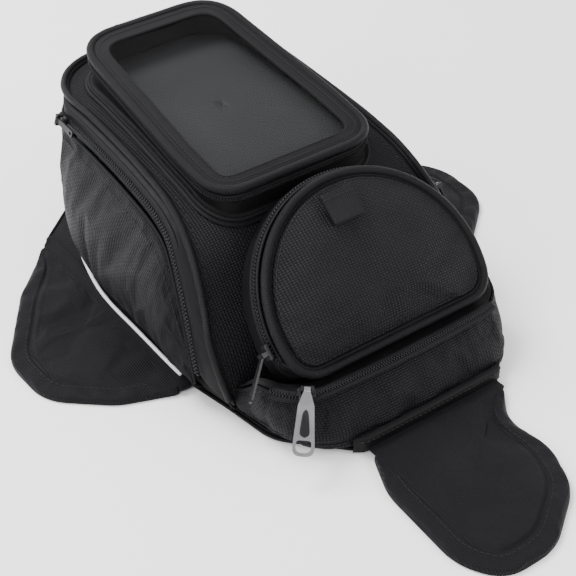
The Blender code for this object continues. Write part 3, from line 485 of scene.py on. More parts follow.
def grid_faces(rows, uv, closed=False, keep=None, flat=False):
    """Faces of a grid and the UVs of their corners."""
    width = len(rows[0])
    faces, corners = [], []
    for r in range(len(rows) - 1):
        for c in range(width if closed else width - 1):
            if keep and not keep(r, c):
                continue
            d = (c + 1) % width
            faces.append((r * width + c, r * width + d, (r + 1) * width + d, (r + 1) * width + c))
            if flat or c + 1 < width:
                corners += [uv[r][c], uv[r][d], uv[r + 1][d], uv[r + 1][c]]
            else:
                step = 2 * uv[r][c][0] - uv[r][c - 1][0]
                low = 2 * uv[r + 1][c][0] - uv[r + 1][c - 1][0]
                corners += [uv[r][c], (step, uv[r][c][1]), (low, uv[r + 1][c][1]), uv[r + 1][c]]
    return faces, corners


def grid_normals(rows, closed=False):
    """Normal of each grid point, on the side that the faces' order gives."""
    height, width = len(rows), len(rows[0])
    result = []
    for r in range(height):
        line = []
        for c in range(width):
            east = rows[r][(c + 1) % width] if closed or c + 1 < width else rows[r][c]
            west = rows[r][c - 1] if closed or c > 0 else rows[r][c]
            south = rows[min(r + 1, height - 1)][c]
            north = rows[max(r - 1, 0)][c]
            line.append((east - west).cross(south - north).normalized())
        result.append(line)
    return result


def pushed(rows, amount, closed=False):
    """The grid moved along its normals by amount(row, column, point)."""
    normals = grid_normals(rows, closed)
    return [[p + n * amount(r, c, p) for c, (p, n) in enumerate(zip(row, line))]
            for r, (row, line) in enumerate(zip(rows, normals))]


def sheet(name, rows, look, body, thickness, closed=False, keep=None, smooth=True, flat=False):
    """Sewn panel: a grid with a thickness behind its face."""
    uv = [[(p.x, p.y) for p in row] for row in rows] if flat else grid_uv(rows)
    faces, corners = grid_faces(rows, uv, closed, keep, flat)
    obj = piece(name, [p for row in rows for p in row], faces, corners, look, body)
    if thickness:
        solid = obj.modifiers.new("thickness", "SOLIDIFY")
        solid.thickness = thickness * MM
        solid.offset = -1.0
    if smooth:
        soften(obj)
    return obj


def soften(obj):
    smooth = obj.modifiers.new("soften", "SUBSURF")
    smooth.levels = smooth.render_levels = 1


def tube(name, path, radius, look, body, closed=False, around=10, lumps=0.04):
    """Round cord in a cloth cover, very slightly uneven along its length."""
    count = len(path)
    points, table = [], along_path(path)
    side = None
    for i, place in enumerate(path):
        tangent = chord(path, i, closed).normalized()
        if side is None:
            side = tangent.orthogonal().normalized()
        side = (side - tangent * side.dot(tangent)).normalized()
        other = tangent.cross(side)
        swell = radius * (1 + lumps * wave(place, 6, 1.0))
        for k in range(around):
            turn = 2 * math.pi * k / around
            points.append(place + (side * math.cos(turn) + other * math.sin(turn)) * swell)
    faces, corners = [], []
    girth = 2 * math.pi * radius
    for i in range(count if closed else count - 1):
        j = (i + 1) % count
        far = table[j] if j else table[i] + (path[0] - path[i]).length
        for k in range(around):
            m = (k + 1) % around
            faces.append((i * around + k, i * around + m, j * around + m, j * around + k))
            low, high = girth * k / around, girth * (k + 1) / around
            corners += [(table[i], low), (table[i], high), (far, high), (far, low)]
    if not closed:
        for end, order in ((0, range(around - 1, -1, -1)), (count - 1, range(around))):
            faces.append(tuple(end * around + k for k in order))
            corners += [(0.0, 0.0)] * around
    return piece(name, points, faces, corners, look, body)


def ribbon(name, path, normals, half, look, body, height=0.7, closed=False, across=7, crown=0.0):
    """Flat tape along a path, its middle raised by a crown and its edges rolled down."""
    rows = []
    for i, place in enumerate(path):
        side = normals[i].cross(chord(path, i, closed).normalized()).normalized()
        line = []
        for k in stations(-1, 1, across):
            rise = height * (1 - abs(k) ** 6) + crown * (1 - k * k)
            line.append(place + side * (half * k) + normals[i] * rise)
        rows.append(line)
    columns = [[row[k] for row in rows] for k in range(across)]
    return sheet(name, columns, look, body, thickness=height, closed=closed, smooth=False)


def facing_out(obj):
    """Turns a closed mesh's faces outward."""
    work = bmesh.new()
    work.from_mesh(obj.data)
    bmesh.ops.recalc_face_normals(work, faces=work.faces)
    work.to_mesh(obj.data)
    work.free()
    return obj


def capsules(name, places, look, body, sides=6):
    """Many small rounded bars in one mesh: (centre, along, up, half length, half width, half height)."""
    points, faces, corners = [], [], []
    rings = ((-1.0, 0.35), (-0.7, 0.92), (0.7, 0.92), (1.0, 0.35))
    for centre, along, up, length, width, height in places:
        side = up.cross(along)
        base = len(points)
        for reach, size in rings:
            for k in range(sides):
                turn = 2 * math.pi * (k + 0.5) / sides
                points.append(centre + along * (length * reach)
                              + side * (width * size * math.cos(turn)) + up * (height * size * math.sin(turn)))
        for r in range(len(rings) - 1):
            for k in range(sides):
                m = (k + 1) % sides
                faces.append((base + r * sides + k, base + r * sides + m,
                              base + (r + 1) * sides + m, base + (r + 1) * sides + k))
        faces.append(tuple(base + k for k in range(sides - 1, -1, -1)))
        faces.append(tuple(base + 3 * sides + k for k in range(sides)))
    for face in faces:
        corners += [(points[v].x, points[v].y) for v in face]
    return facing_out(piece(name, points, faces, corners, look, body))


def tree_of(obj):
    """Search tree of an object's mesh with its modifiers, in millimetres."""
    bpy.context.view_layer.update()
    mesh = obj.evaluated_get(bpy.context.evaluated_depsgraph_get()).to_mesh()
    points = [v.co / MM for v in mesh.vertices]
    return BVHTree.FromPolygons(points, [tuple(p.vertices) for p in mesh.polygons])


STITCH_LENGTH = 2.5
THREAD_RADIUS = 0.36
POCKET_STITCH = 3.4


def stitches(name, surface, path, body, toward=None, closed=False, pitch=3.6):
    """Row of thread stitches laid on a surface along a path."""
    tree = tree_of(surface)
    spots = resample(path, pitch, closed)
    bars = []
    for i, spot in enumerate(spots):
        if toward is None:
            place, up = tree.find_nearest(spot)[:2]
        else:
            place, up = tree.ray_cast(spot + toward * -25, toward, 60)[:2]
        if place is None:
            continue
        along = chord(spots, i, closed)
        if toward is not None and up.dot(toward) > 0:
            up = -up
        along = (along - up * along.dot(up)).normalized()
        bars.append((place + up * 0.12, along, up, STITCH_LENGTH / 2, THREAD_RADIUS, THREAD_RADIUS * 0.8))
    return capsules(name, bars, "thread", body)


def zip_teeth(name, path, normals, half, body, pitch=2.2, lift=1.2):
    """Two rows of interlocking coil turns along a path."""
    spots = resample(path, pitch / 2)
    lengths = along_path(path)
    bars = []
    count = len(spots)
    k = 0
    for i, spot in enumerate(spots):
        goal = lengths[-1] * i / max(count - 1, 1)
        while k < len(lengths) - 2 and lengths[k + 1] < goal:
            k += 1
        t = min(max((goal - lengths[k]) / max(lengths[k + 1] - lengths[k], 1e-9), 0), 1)
        up = normals[k].lerp(normals[k + 1], t).normalized()
        side = up.cross(chord(spots, i).normalized()).normalized()
        sign = 1 if i % 2 else -1
        bars.append((spot + side * (sign * half * 0.45) + up * lift, side, up, half * 0.62, pitch * 0.30, 0.85))
    return capsules(name, bars, "teeth", body)


PUFF_FRAMES = 20
CLOTH = {"quality": 6, "mass": 0.2, "tension_stiffness": 12, "compression_stiffness": 8, "shear_stiffness": 4,
         "bending_stiffness": 0.15, "use_pressure": True, "vertex_group_mass": "pin", "pin_stiffness": 1.0}


def puff(obj, pins, pressure, cap, slack):
    """Blows a closed cloth piece up with the cloth solver, holding its pinned points, keeps the result and
    subdivides it once."""
    simulate(obj, pins, pressure, cap, slack)
    soften(obj)


def simulate(obj, pins, pressure, cap, slack):
    group = obj.vertex_groups.new(name="pin")
    group.add(pins, 1.0, "REPLACE")
    cloth = obj.modifiers.new("cloth", "CLOTH")
    settings = cloth.settings
    for key, value in {**CLOTH, "uniform_pressure_force": pressure, "shrink_min": -slack}.items():
        setattr(settings, key, value)
    settings.effector_weights.gravity = 0.0
    cloth.collision_settings.use_collision = False
    scene = bpy.context.scene
    cloth.point_cache.frame_start = 1
    cloth.point_cache.frame_end = PUFF_FRAMES
    rest = [v.co.copy() for v in obj.data.vertices]
    for number in range(1, PUFF_FRAMES + 1):
        scene.frame_set(number)
    bpy.context.view_layer.update()
    result = obj.evaluated_get(bpy.context.evaluated_depsgraph_get()).to_mesh()
    moved = [v.co.copy() for v in result.vertices]
    obj.modifiers.remove(cloth)
    scene.frame_set(1)
    for vertex, a, b in zip(obj.data.vertices, rest, moved):
        step = b - a
        if step.length > cap * MM:
            step = step.normalized() * cap * MM
        vertex.co = a + step
    obj.data.update()


def pad(name, outer, inner, look, body):
    """Closed pad between two grids of the same size; returns it and the points held by its seams."""
    height, width = len(outer), len(outer[0])
    count = height * width
    uv = grid_uv(outer)
    faces, corners = grid_faces(outer, uv)
    back, back_corners = grid_faces(inner, uv)
    faces += [tuple(count + v for v in reversed(face)) for face in back]
    for i in range(0, len(back_corners), 4):
        corners += list(reversed(back_corners[i:i + 4]))
    rim = [(0, c) for c in range(width)] + [(r, width - 1) for r in range(1, height)]
    rim += [(height - 1, c) for c in range(width - 2, -1, -1)] + [(r, 0) for r in range(height - 2, 0, -1)]
    for (r, c), (q, d) in zip(rim, rim[1:] + rim[:1]):
        a, b = r * width + c, q * width + d
        faces.append((b, a, count + a, count + b))
        corners += [uv[q][d], uv[r][c], uv[r][c], uv[q][d]]
    obj = piece(name, [p for row in outer + inner for p in row], faces, corners, look, body)
    return obj, [count + i for i in range(count)] + [r * width + c for r, c in rim]


# ---------------------------------------------------------------- shape of the bag

def foot_point(s):
    x, y = spline_point([(*p, 0) for p in FOOT_EDGE], s)[:2]
    return Vector((x, y, WALL_FOOT_Z))


def outward(s):
    """Level direction away from the body at a station."""
    tangent = foot_point(min(s + 0.05, LAST)) - foot_point(max(s - 0.05, 0.0))
    return Vector((tangent.y, -tangent.x, 0)).normalized()


def top_normal(s):
    behind = spline_point(TOP_EDGE, max(s - 0.3, 0.0))
    ahead = spline_point(TOP_EDGE, min(s + 0.3, LAST))
    rise, run = ahead.z - behind.z, ahead.y - behind.y
    if run < 1.0 and s > BACK_SEAM - 1:
        return Z_AXIS.copy()
    return Vector((0, -rise, run)).normalized()


def wall_point(s, down, out=0.0):
    start = spline_point(TOP_EDGE, s) - top_normal(s) * (TOP_THICKNESS + 1.6)
    return start.lerp(foot_point(s), down) + outward(s) * out


def zip_share(s):
    """Share of the wall's height at which the side zip runs."""
    turn = (5.9 - s) / (5.9 - POCKET_FRONT)
    level = 0.085
    if turn <= 0:
        return level
    return level + (POCKET_FOOT - level) * (1 - math.sqrt(max(0.0, 1 - min(turn, 1.0) ** 2)))


def stand_off(s):
    fade = smoothstep((POCKET_BACK + 0.5 - s) / 0.9)
    return FOOT_STAND_OFF + (ZIP_STAND_OFF - FOOT_STAND_OFF) * fade


RIDGE = [spline_point(TOP_EDGE, s) for s in stations(0, LAST - 1, 300)]
RIDGE_Y = [p.y for p in RIDGE]
DECK_HALF = 72


def top_height(y):
    """Height of the top panel on its middle line."""
    k = min(max(bisect.bisect_left(RIDGE_Y, y), 1), len(RIDGE) - 1)
    low, high = RIDGE[k - 1], RIDGE[k]
    share = min(max((y - low.y) / max(high.y - low.y, 1e-6), 0), 1)
    return low.z + (high.z - low.z) * share + TOP_CROWN


def deck_height(p):
    """Height of the top panel where the pouch stands on it."""
    return top_height(p.y) - TOP_CROWN * (p.x / DECK_HALF) ** 2


def rim_height(y):
    return RIM_FRONT_Z + (y - RIM_FRONT_Y) * math.tan(RIM_TILT)


D_MATRIX = Matrix.Rotation(D_SLOPE, 3, "X")
D_OUT = D_MATRIX @ Z_AXIS


def d_world(point, depth=0.0):
    return D_CENTRE + D_MATRIX @ Vector((point[0], point[1], depth))


def spoke(angle):
    return Vector((math.cos(angle), math.sin(angle)))


def d_outline(steps=20, corner=4, chord=6):
    """The D from the right end of its arc to the left end, a corner, the chord and the other corner."""
    reach = math.sqrt((D_RADIUS - D_CORNER) ** 2 - (D_CHORD - D_CORNER) ** 2)
    end = math.atan2(D_CORNER - D_CHORD, reach)
    points = [D_RADIUS * spoke(a) for a in stations(end, math.pi - end, steps + 1)]
    left, right = Vector((-reach, D_CORNER - D_CHORD)), Vector((reach, D_CORNER - D_CHORD))
    points += [left + D_CORNER * spoke(a) for a in stations(math.pi - end, 1.5 * math.pi, corner)[1:]]
    points += [Vector((x, -D_CHORD)) for x in stations(-reach, reach, chord)[1:-1]]
    points += [right + D_CORNER * spoke(a) for a in stations(1.5 * math.pi, 2 * math.pi + end, corner)[:-1]]
    return points


def d_skirt(point):
    return 0.6 + (D_SKIRT - 0.6) * smoothstep((point.y + D_CHORD - 4) / 14)


def d_flared(point):
    return Vector((point.x * (1 + D_FLARE), (point.y + D_CHORD) * (1 + D_FLARE) - D_CHORD))


def lower_path(edge, first, last, count):
    centre = Vector((LOWER_CENTRE_X, 0, 0))
    return [centre + mirror_x(spline_point(edge, abs(s)), 1 if s >= 0 else -1)
            for s in stations(first, last, count)]


# ---------------------------------------------------------------- body

WALL_ROWS = 34


def make_walls():
    for side, label in reversed(SIDES):
        run = stations(0, BACK_SEAM, 100)
        places = [(s, side) for s in (run if side < 0 else reversed(run))]
        wall(f"{label}_side_cloth", places, f"{label}_side_panel")
    run = stations(BACK_SEAM, LAST, 45)
    wall("back_cloth", [(s, -1) for s in run] + [(s, 1) for s in reversed(run[:-1])], "back_panel")
    for side, label in reversed(SIDES):
        path = [mirror_x(wall_point(BACK_SEAM, d, 0.6), side) for d in stations(0.0, 1.0, 40)]
        tube(f"{label}_back_seam", path, 1.2, "binding", "bag", around=8)


def wall(name, places, node):
    rows = [[mirror_x(spline_point(TOP_EDGE, s) + top_normal(s) * lift + outward(s) * out, side)
             for s, side in places] for lift, out in ((0.7, 0.3), (-1.6, 0.0))]
    for down in stations(0, 1, WALL_ROWS):
        rows.append([mirror_x(wall_point(s, down), side) for s, side in places])

    def sag(r, c, p):
        belly = math.sin(math.pi * min(max((r - 2) / (WALL_ROWS - 1), 0), 1))
        soft = wave((p.x, p.y, p.z * 0.5), 26, 3) * 1.0 + wave((p.x, p.y, p.z * 0.35), 9, 5) * 0.28
        return belly * soft

    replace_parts(sheet(name, pushed(rows, sag), "nylon", "bag", thickness=2.2), node)


TOP_ROWS, TOP_COLUMNS = 156, 90
TOP_OPENING = (43.5, 3.5, 134.5)


def make_top():
    rows = []
    for s in stations(0.0, LAST - 0.12, TOP_ROWS):
        edge = spline_point(TOP_EDGE, s)
        half = edge.x - 0.2
        crown = TOP_CROWN * smoothstep((edge.z - 20) / 60)
        rows.append([Vector((half * k, edge.y, edge.z + crown * (1 - k * k)))
                     for k in stations(-1, 1, TOP_COLUMNS)])

    def sag(r, c, p):
        edge = math.sin(math.pi * c / (TOP_COLUMNS - 1)) ** 0.5 * smoothstep((TOP_ROWS - 1 - r) / 30)
        return edge * (wave(p, 30, 1) * 1.1 + wave((p.x, p.y * 0.5, p.z), 11, 7) * 0.35)

    def kept(r, c):
        p = rows[r][c]
        half, front, rear = TOP_OPENING
        return not (abs(p.x) < half and front < p.y < rear)

    top = sheet("top_cloth", pushed(rows, sag), "coarse", "bag", thickness=2.8, keep=kept)
    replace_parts(top, "top_panel")
    ring = resample(rounded(both_halves(LID_OPENING_HALF)), 3, True)
    edge = [raised(p, deck_height(p) + 0.4) for p in ring]
    ribbon("opening_binding", edge, [Z_AXIS] * len(edge), 3.6, "binding", "bag", closed=True, crown=0.3)
    lip = [p - Z_AXIS * 1.6 for p in edge]
    lip = [Vector((p.x * 0.965, p.y + (70 - p.y) * 0.035, p.z)) for p in lip]
    tube("opening_edge", lip, 1.9, "binding", "bag", closed=True)

    path, seam = [], []
    reach = TOP_PIPING_RADIUS + 0.6
    for s in stations(0.3, LAST, 240):
        lean = (outward(s) + top_normal(s)).normalized()
        path.append(spline_point(TOP_EDGE, s) + lean * reach)
        seam.append(spline_point(TOP_EDGE, s) + lean * 0.5)
    tube("top_edge_seam", resample(mirrored(seam), 1.6), 1.9, "binding", "bag", around=10)
    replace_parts(tube("top_edge_cord", resample(mirrored(path), 1.6), TOP_PIPING_RADIUS, "binding", "bag", around=14),
                "top_edge_piping")
    line = [spline_point(TOP_EDGE, s) - outward(s) * 4.6 for s in stations(0.3, LAST, 240)]
    stitches("top_edge_stitches", top, mirrored(line), "bag")

    for side, label in SIDES:
        path = [mirror_x(foot_point(s) + outward(s) * (REFLECTIVE_RADIUS + 0.6), side)
                for s in stations(4.0, 12.0, 160)]
        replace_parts(tube(f"{label}_reflective_cord", path, REFLECTIVE_RADIUS, "reflective", "bag"),
                    f"{label}_reflective_piping")
        tube(f"{label}_base_binding", [p - Z_AXIS * 1.9 for p in path], 1.2, "binding", "bag", around=8)


def side_zip_line(side):
    """Path of a side zip, its normals, and the line on the top edge that its cloth comes from."""
    path, normals, inner = [], [], []
    for s in stations(POCKET_FRONT - 0.1, POCKET_BACK + 0.5, 160):
        share = max(zip_share(s + 0.25) - 0.045, 0.03)
        path.append(mirror_x(wall_point(s, share, stand_off(s)), side))
        normals.append(mirror_x(outward(s) + Z_AXIS * 0.3, side).normalized())
        root = s if s > 6 else 0.15 + (s - 2.5) / 3.5 * 5.85
        edge = spline_point(TOP_EDGE, max(root, 0.0))
        inner.append(mirror_x(edge - top_normal(root) * 1.0 + outward(root) * 0.9, side))
    return path, normals, inner


POCKET_ROWS, POCKET_COLUMNS = 44, 84


def make_side_pockets():
    for side, label in SIDES:
        path, normals, inner = side_zip_line(side)
        tape = ribbon(f"{label}_zip_tape", path, normals, 5.8, "tape", "bag", 0.8, crown=0.5, across=9)
        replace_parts(tape, f"{label}_side_zip")
        zip_teeth(f"{label}_zip_teeth", path, normals, 1.9, "bag", lift=1.5)

        lines = list(zip(path, inner, normals))
        rows = [[q.lerp(p, k) + n * (2.4 * math.sin(math.pi * k)) for p, q, n in lines][::-side]
                for k in stations(0, 1, 14)]
        rows = pushed(rows, lambda r, c, p: 0.55 * wave(p, 11, 4))
        shelf = sheet(f"{label}_pocket_shelf", rows, "nylon", "bag", thickness=1.0)
        seam = [q.lerp(p, 0.72) + n for p, q, n in lines]
        stitches(f"{label}_shelf_stitches", shelf, seam, "bag", pitch=POCKET_STITCH)

        outer, back = [], []
        for v in stations(0, 1, POCKET_ROWS):
            outer_row, back_row = [], []
            for s in stations(POCKET_FRONT + 0.06, POCKET_BACK, POCKET_COLUMNS):
                top = zip_share(s) + 0.025
                down = top + (POCKET_FOOT - top) * v
                around = (s - POCKET_FRONT) / (POCKET_BACK - POCKET_FRONT)
                bulge = POCKET_BULGE * (math.sin(math.pi * v) ** 0.7) * (math.sin(math.pi * around) ** 0.4)
                edge = stand_off(s) * (1 - smoothstep(v)) + FOOT_STAND_OFF * smoothstep(v)
                outer_row.append(mirror_x(wall_point(s, down, edge + 2.0 + bulge * 0.93), side))
                back_row.append(mirror_x(wall_point(s, down, edge + 0.3 + bulge * 0.75), side))
            outer.append(outer_row[::-side])
            back.append(back_row[::-side])

        def crease(r, c, p):
            v, h = r / (POCKET_ROWS - 1), c / (POCKET_COLUMNS - 1)
            held = math.sin(math.pi * v) * math.sin(math.pi * h)
            folds = wave((p.x * 0.4, p.y, p.z * 0.25), 10, 6 + side) * 0.9
            return held ** 0.5 * (folds * (0.35 + 0.65 * v) + 0.9 * wave((p.x, p.y, p.z * 0.5), 24, 8))

        cover, pins = pad(f"{label}_pocket_pad", pushed(outer, crease), back, "ribbed", f"{label}_cover")
        puff(cover, pins, pressure=2.2, cap=3.0, slack=0.03)
        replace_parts(cover, f"{label}_pocket_cover")
        tube(f"{label}_pocket_hem", resample(outer[0], 2), 1.1, "binding", f"{label}_cover", around=8)
        stitches(f"{label}_pocket_stitches", cover, outer[3][2:-2], f"{label}_cover", pitch=POCKET_STITCH)


# ---------------------------------------------------------------- phone pouch

def make_pouch():
    outline = resample(rounded(both_halves(RIM_HALF), 10), 2.2, True)
    away = [(b - a).normalized() for a, b in zip(outline, offset_outline(outline, 1.0))]
    profile = [(0.0, 3.1), (0.012, 3.4), (0.03, 2.6), (0.06, 1.0), (0.1, 0.3), (0.14, 0.0), (0.2, -0.2),
               (0.32, 0.0), (0.5, 0.15), (0.7, 0.1), (0.8, 0.0), (0.9, 0.1), (1.0, 0.0)]
    rows = []
    for share, out in profile[::-1]:
        row = []
        for p, n in zip(outline, away):
            foot, head = deck_height(p) + 1.2, rim_height(p.y) - 1.2
            row.append(raised(p + n * out, foot + (head - foot) * share))
        rows.append(row)

    def sag(r, c, p):
        band = math.sin(math.pi * r / (len(rows) - 1))
        return band * (0.55 * wave((p.x, p.y, p.z * 0.6), 17, 9) + 0.25 * wave((p.x, p.y, p.z * 0.4), 6, 2))

    rows = [row[::-1] for row in rows] if outline_turns_left(outline) else rows
    rows = pushed(rows, sag, True)
    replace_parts(sheet("pouch_wall_cloth", rows, "nylon", "main_lid", thickness=1.6, closed=True), "pouch_wall")

    foot = [raised(p + n * 3.3, deck_height(p) + 1.7) for p, n in zip(outline, away)]
    tube("pouch_foot_piping", foot, 1.3, "binding", "main_lid", closed=True, around=8)

    belt = [raised(p + n * 0.7, rim_height(p.y) - 6.2) for p, n in zip(outline, away)]
    normals = [raised(n, 0) for n in away]
    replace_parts(ribbon("window_zip_tape", belt, normals, 2.5, "tape", "main_lid", height=0.6, closed=True),
                "window_zip")
    zip_teeth("window_zip_teeth", belt + belt[:1], normals + normals[:1], 1.2, "main_lid", pitch=1.7, lift=0.95)

    ring = [Vector((p.x + n.x * 2.4, p.y + n.y * 2.4, deck_height(p) + 0.6)) for p, n in zip(outline, away)]
    up = [Vector((0, top_height(p.y - 1) - top_height(p.y + 1), 2)).normalized() for p in ring]
    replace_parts(ribbon("lid_zip_tape", ring, up, 4.2, "tape", "bag", height=0.6, closed=True), "lid_zip")
    zip_teeth("lid_zip_teeth", [p + n * 0.6 for p, n in zip(ring, up)] + [ring[0]], up + up[:1], 1.3, "bag",
              pitch=1.7, lift=0.6)

    inside = resample(offset_outline(outline, -2.4), 4, True)
    floor_rows = filled(inside, lambda x, y: top_height(y) + 4.1, 12)
    for name, lift, look in (("pouch_floor", 0.0, "lining"), ("lid_underside", -3.0, "nylon")):
        face = [[p + Z_AXIS * lift for p in row] for row in floor_rows]
        obj = sheet(name, face, look, "main_lid", thickness=1.4, closed=True, smooth=False, flat=True)
    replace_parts(obj, "lid_panel")

    roll = [raised(p, rim_height(p.y)) for p in outline]
    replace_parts(tube("rim_cord", roll, 2.85, "binding", "window_lid", closed=True, around=16, lumps=0.05),
                "rim_piping")
    tilt = Vector((0, -math.sin(RIM_TILT), math.cos(RIM_TILT)))

    def rim_ring(inset, lift):
        return [raised(p, rim_height(p.y)) + tilt * lift for p in offset_outline(outline, -inset)]

    spots = ((1.2, 0.9), (3.0, 1.7), (4.4, 1.45), (6.5, 1.1), (9.0, 0.95), (11.2, 0.8), (12.2, 0.5), (12.5, -0.3))
    rows = [rim_ring(*spot) for spot in spots]
    rows = rows if outline_turns_left(outline) else [row[::-1] for row in rows]
    frame_cloth = sheet("window_frame_cloth", rows, "binding", "window_lid", thickness=0.9, closed=True)
    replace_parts(frame_cloth, "window_frame")
    for inset, label in ((5.6, "outer"), (11.2, "inner")):
        stitches(f"frame_stitches_{label}", frame_cloth, rim_ring(inset, 1.4), "window_lid", closed=True,
                 pitch=3)

    edge = resample(offset_outline(outline, -6.0), 4, True)

    def ripple(x, y):
        dent = -0.8 * math.exp(-((x / 34) ** 2 + ((y - 62) / 60) ** 2))
        return rim_height(y) - 0.2 + dent + 0.5 * wave((x, y, 0), 21, 4)

    film = sheet("window_film_clear", filled(edge, ripple, 22), "film", "window_lid", 0, True, smooth=False)
    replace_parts(film, "window_film")


def outline_turns_left(outline):
    return sum(a.x * b.y - b.x * a.y for a, b in zip(outline, outline[1:] + outline[:1])) > 0


def filled(outline, height, rings):
    """Rings that fill an outline down to its middle, at a height that depends on x and y."""
    centre = sum(outline, Vector((0, 0))) / len(outline)
    loop = outline if outline_turns_left(outline) else outline[::-1]
    rows = [[centre + (p - centre) * k for p in loop] for k in stations(1, 0.004, rings)]
    return [[raised(p, height(p.x, p.y)) for p in row] for row in rows]


# ---------------------------------------------------------------- D-shaped pocket

def make_d_pocket():
    outline = resample(d_outline(80, 14, 20), 2.4, True)
    inner = smooth_loop(offset_outline(outline, -1.2), 1)
    profile = [(1.0, 0.0), (0.985, 0.16), (0.96, 0.31), (0.93, 0.42), (0.88, 0.56), (0.82, 0.68), (0.74, 0.78),
               (0.65, 0.86), (0.55, 0.93), (0.45, 0.965), (0.35, 0.985), (0.25, 1.0), (0.16, 1.0), (0.08, 1.0),
               (0.02, 1.0)]
    def dome(p, share, lift):
        q = Vector((p.x * share, p.y * share + 3.0 * (1 - share)))
        height = D_DOME * 0.94 * lift
        reach = (q - LOOP_SPOT).length
        angle = math.atan2(q.y - LOOP_SPOT.y, q.x - LOOP_SPOT.x)
        held = min(1.0, lift * 1.2)
        tug = 1.25 * math.exp(-reach / 24) * math.cos(angle * 7 + 0.8) * smoothstep(reach / 8)
        dents = 1.9 * wave((q.x, q.y, 0), 27, 2.2) + 0.7 * wave((q.x * 0.6, q.y, 0), 11, 5.1)
        slump = -1.5 * smoothstep((-q.y - 2) / 20) * smoothstep((q.x - 5) / 40)
        return d_world(q, height + held * (tug + dents + slump))

    outer = [[d_world(p, -d_skirt(p) * share) for p in inner] for share in (0.95, 0.4)]
    outer += [[dome(p, share, lift) for p in inner] for share, lift in profile]
    back = [[D_CENTRE + (p - D_CENTRE) * 0.985 - D_OUT * (1.8 if r > 1 else 0.4) for p in row]
            for r, row in enumerate(outer)]
    uv = [[tuple((p - D_CENTRE).dot(D_MATRIX.col[k]) for k in (0, 1)) for p in row] for row in outer]
    cover, pins = ring_pad("d_pocket_dome", outer, back, uv, "coarse", "d_cover", held_rows=(0, 1, 2))
    puff(cover, pins, pressure=1.6, cap=2.5, slack=0.02)
    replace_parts(cover, "d_pocket_cover")

    cord = [d_world(p, 0.6) for p in offset_outline(outline, 3.0)]
    cord = resample(cord, 1.8, True)
    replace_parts(tube("d_pocket_cord", cord, 2.75, "binding", "d_cover", closed=True, around=16), "d_pocket_piping")
    flange = [d_world(p, -0.4) for p in offset_outline(outline, 0.2)]
    tube("d_pocket_flange", resample(flange, 1.8, True), 1.9, "binding", "d_cover", closed=True)
    seam = [d_world(p * 0.965, 3.5) for p in outline]
    stitches("d_pocket_stitches", cover, seam, "d_cover", closed=True, pitch=3.2)

    gusset = [d_flared(p) for p in outline]
    rows = []
    for k in stations(0, 1, 12):
        row = []
        for p in gusset:
            front = d_world(p, -max(d_skirt(p), 2.4) - 0.6)
            room = (D_BACK_LIMIT_Y - d_world(p).y) / math.sin(D_SLOPE)
            rear = d_world(p * 1.015, -min(D_DEPTH, room))
            row.append(front.lerp(rear, k))
        rows.append(row)
    rows = rows[::-1] if not outline_turns_left(gusset) else rows
    rows = pushed(rows, lambda r, c, p: math.sin(math.pi * r / 11) * 1.1 * wave(p, 13, 6), True)
    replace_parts(sheet("d_pocket_wall", rows, "nylon", "bag", thickness=1.6, closed=True), "d_pocket_gusset")

    arc = resample(d_outline(90, 14, 20)[:91], 2.2)
    path = [d_world(d_flared(p) * (1 + 0.9 / D_RADIUS), -D_SKIRT - 0.3) for p in arc]
    normals = [(d_world(p) - d_world((0, 0))).normalized() for p in arc]
    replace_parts(ribbon("d_pocket_zip_tape", path, normals, 3.4, "tape", "bag", height=0.8, crown=0.3),
                "d_pocket_zip")
    zip_teeth("d_pocket_teeth", path, normals, 1.7, "bag", lift=1.3)
    ridge = [d_world(d_flared(p) * (1 + 1.6 / D_RADIUS), -D_SKIRT - 4.6)
             for p in resample(d_outline(90, 14, 20), 2.2, True) if p.y > -D_CHORD - 1]
    tube("d_pocket_welt", ridge, 1.5, "binding", "bag", closed=True)

    make_loop()


def ring_pad(name, outer, back, uv, look, body, held_rows):
    """Closed pad whose grids are rings round a middle; the first rings and the back are held."""
    height, width = len(outer), len(outer[0])
    count = height * width
    points = [p for row in outer + back for p in row]
    points += [sum(rows[-1], Vector()) / width for rows in (outer, back)]
    faces, corners = [], []
    for r in range(height - 1):
        for c in range(width):
            d = (c + 1) % width
            quad = [(r, c), (r, d), (r + 1, d), (r + 1, c)]
            faces.append(tuple(q * width + e for q, e in quad))
            corners += [uv[q][e] for q, e in quad]
            faces.append(tuple(count + q * width + e for q, e in reversed(quad)))
            corners += [uv[q][e] for q, e in reversed(quad)]
    last = (height - 1) * width
    middle = uv[-1][0]
    for c in range(width):
        d = (c + 1) % width
        faces.append((last + c, last + d, 2 * count))
        corners += [uv[-1][c], uv[-1][d], middle]
        faces.append((count + last + d, count + last + c, 2 * count + 1))
        corners += [uv[-1][d], uv[-1][c], middle]
        faces.append((d, c, count + c, count + d))
        corners += [uv[0][d], uv[0][c], uv[0][c], uv[0][d]]
    obj = piece(name, points, faces, corners, look, body)
    pins = [r * width + c for r in held_rows for c in range(width)]
    return obj, pins + [count + i for i in range(count)] + [2 * count + 1]


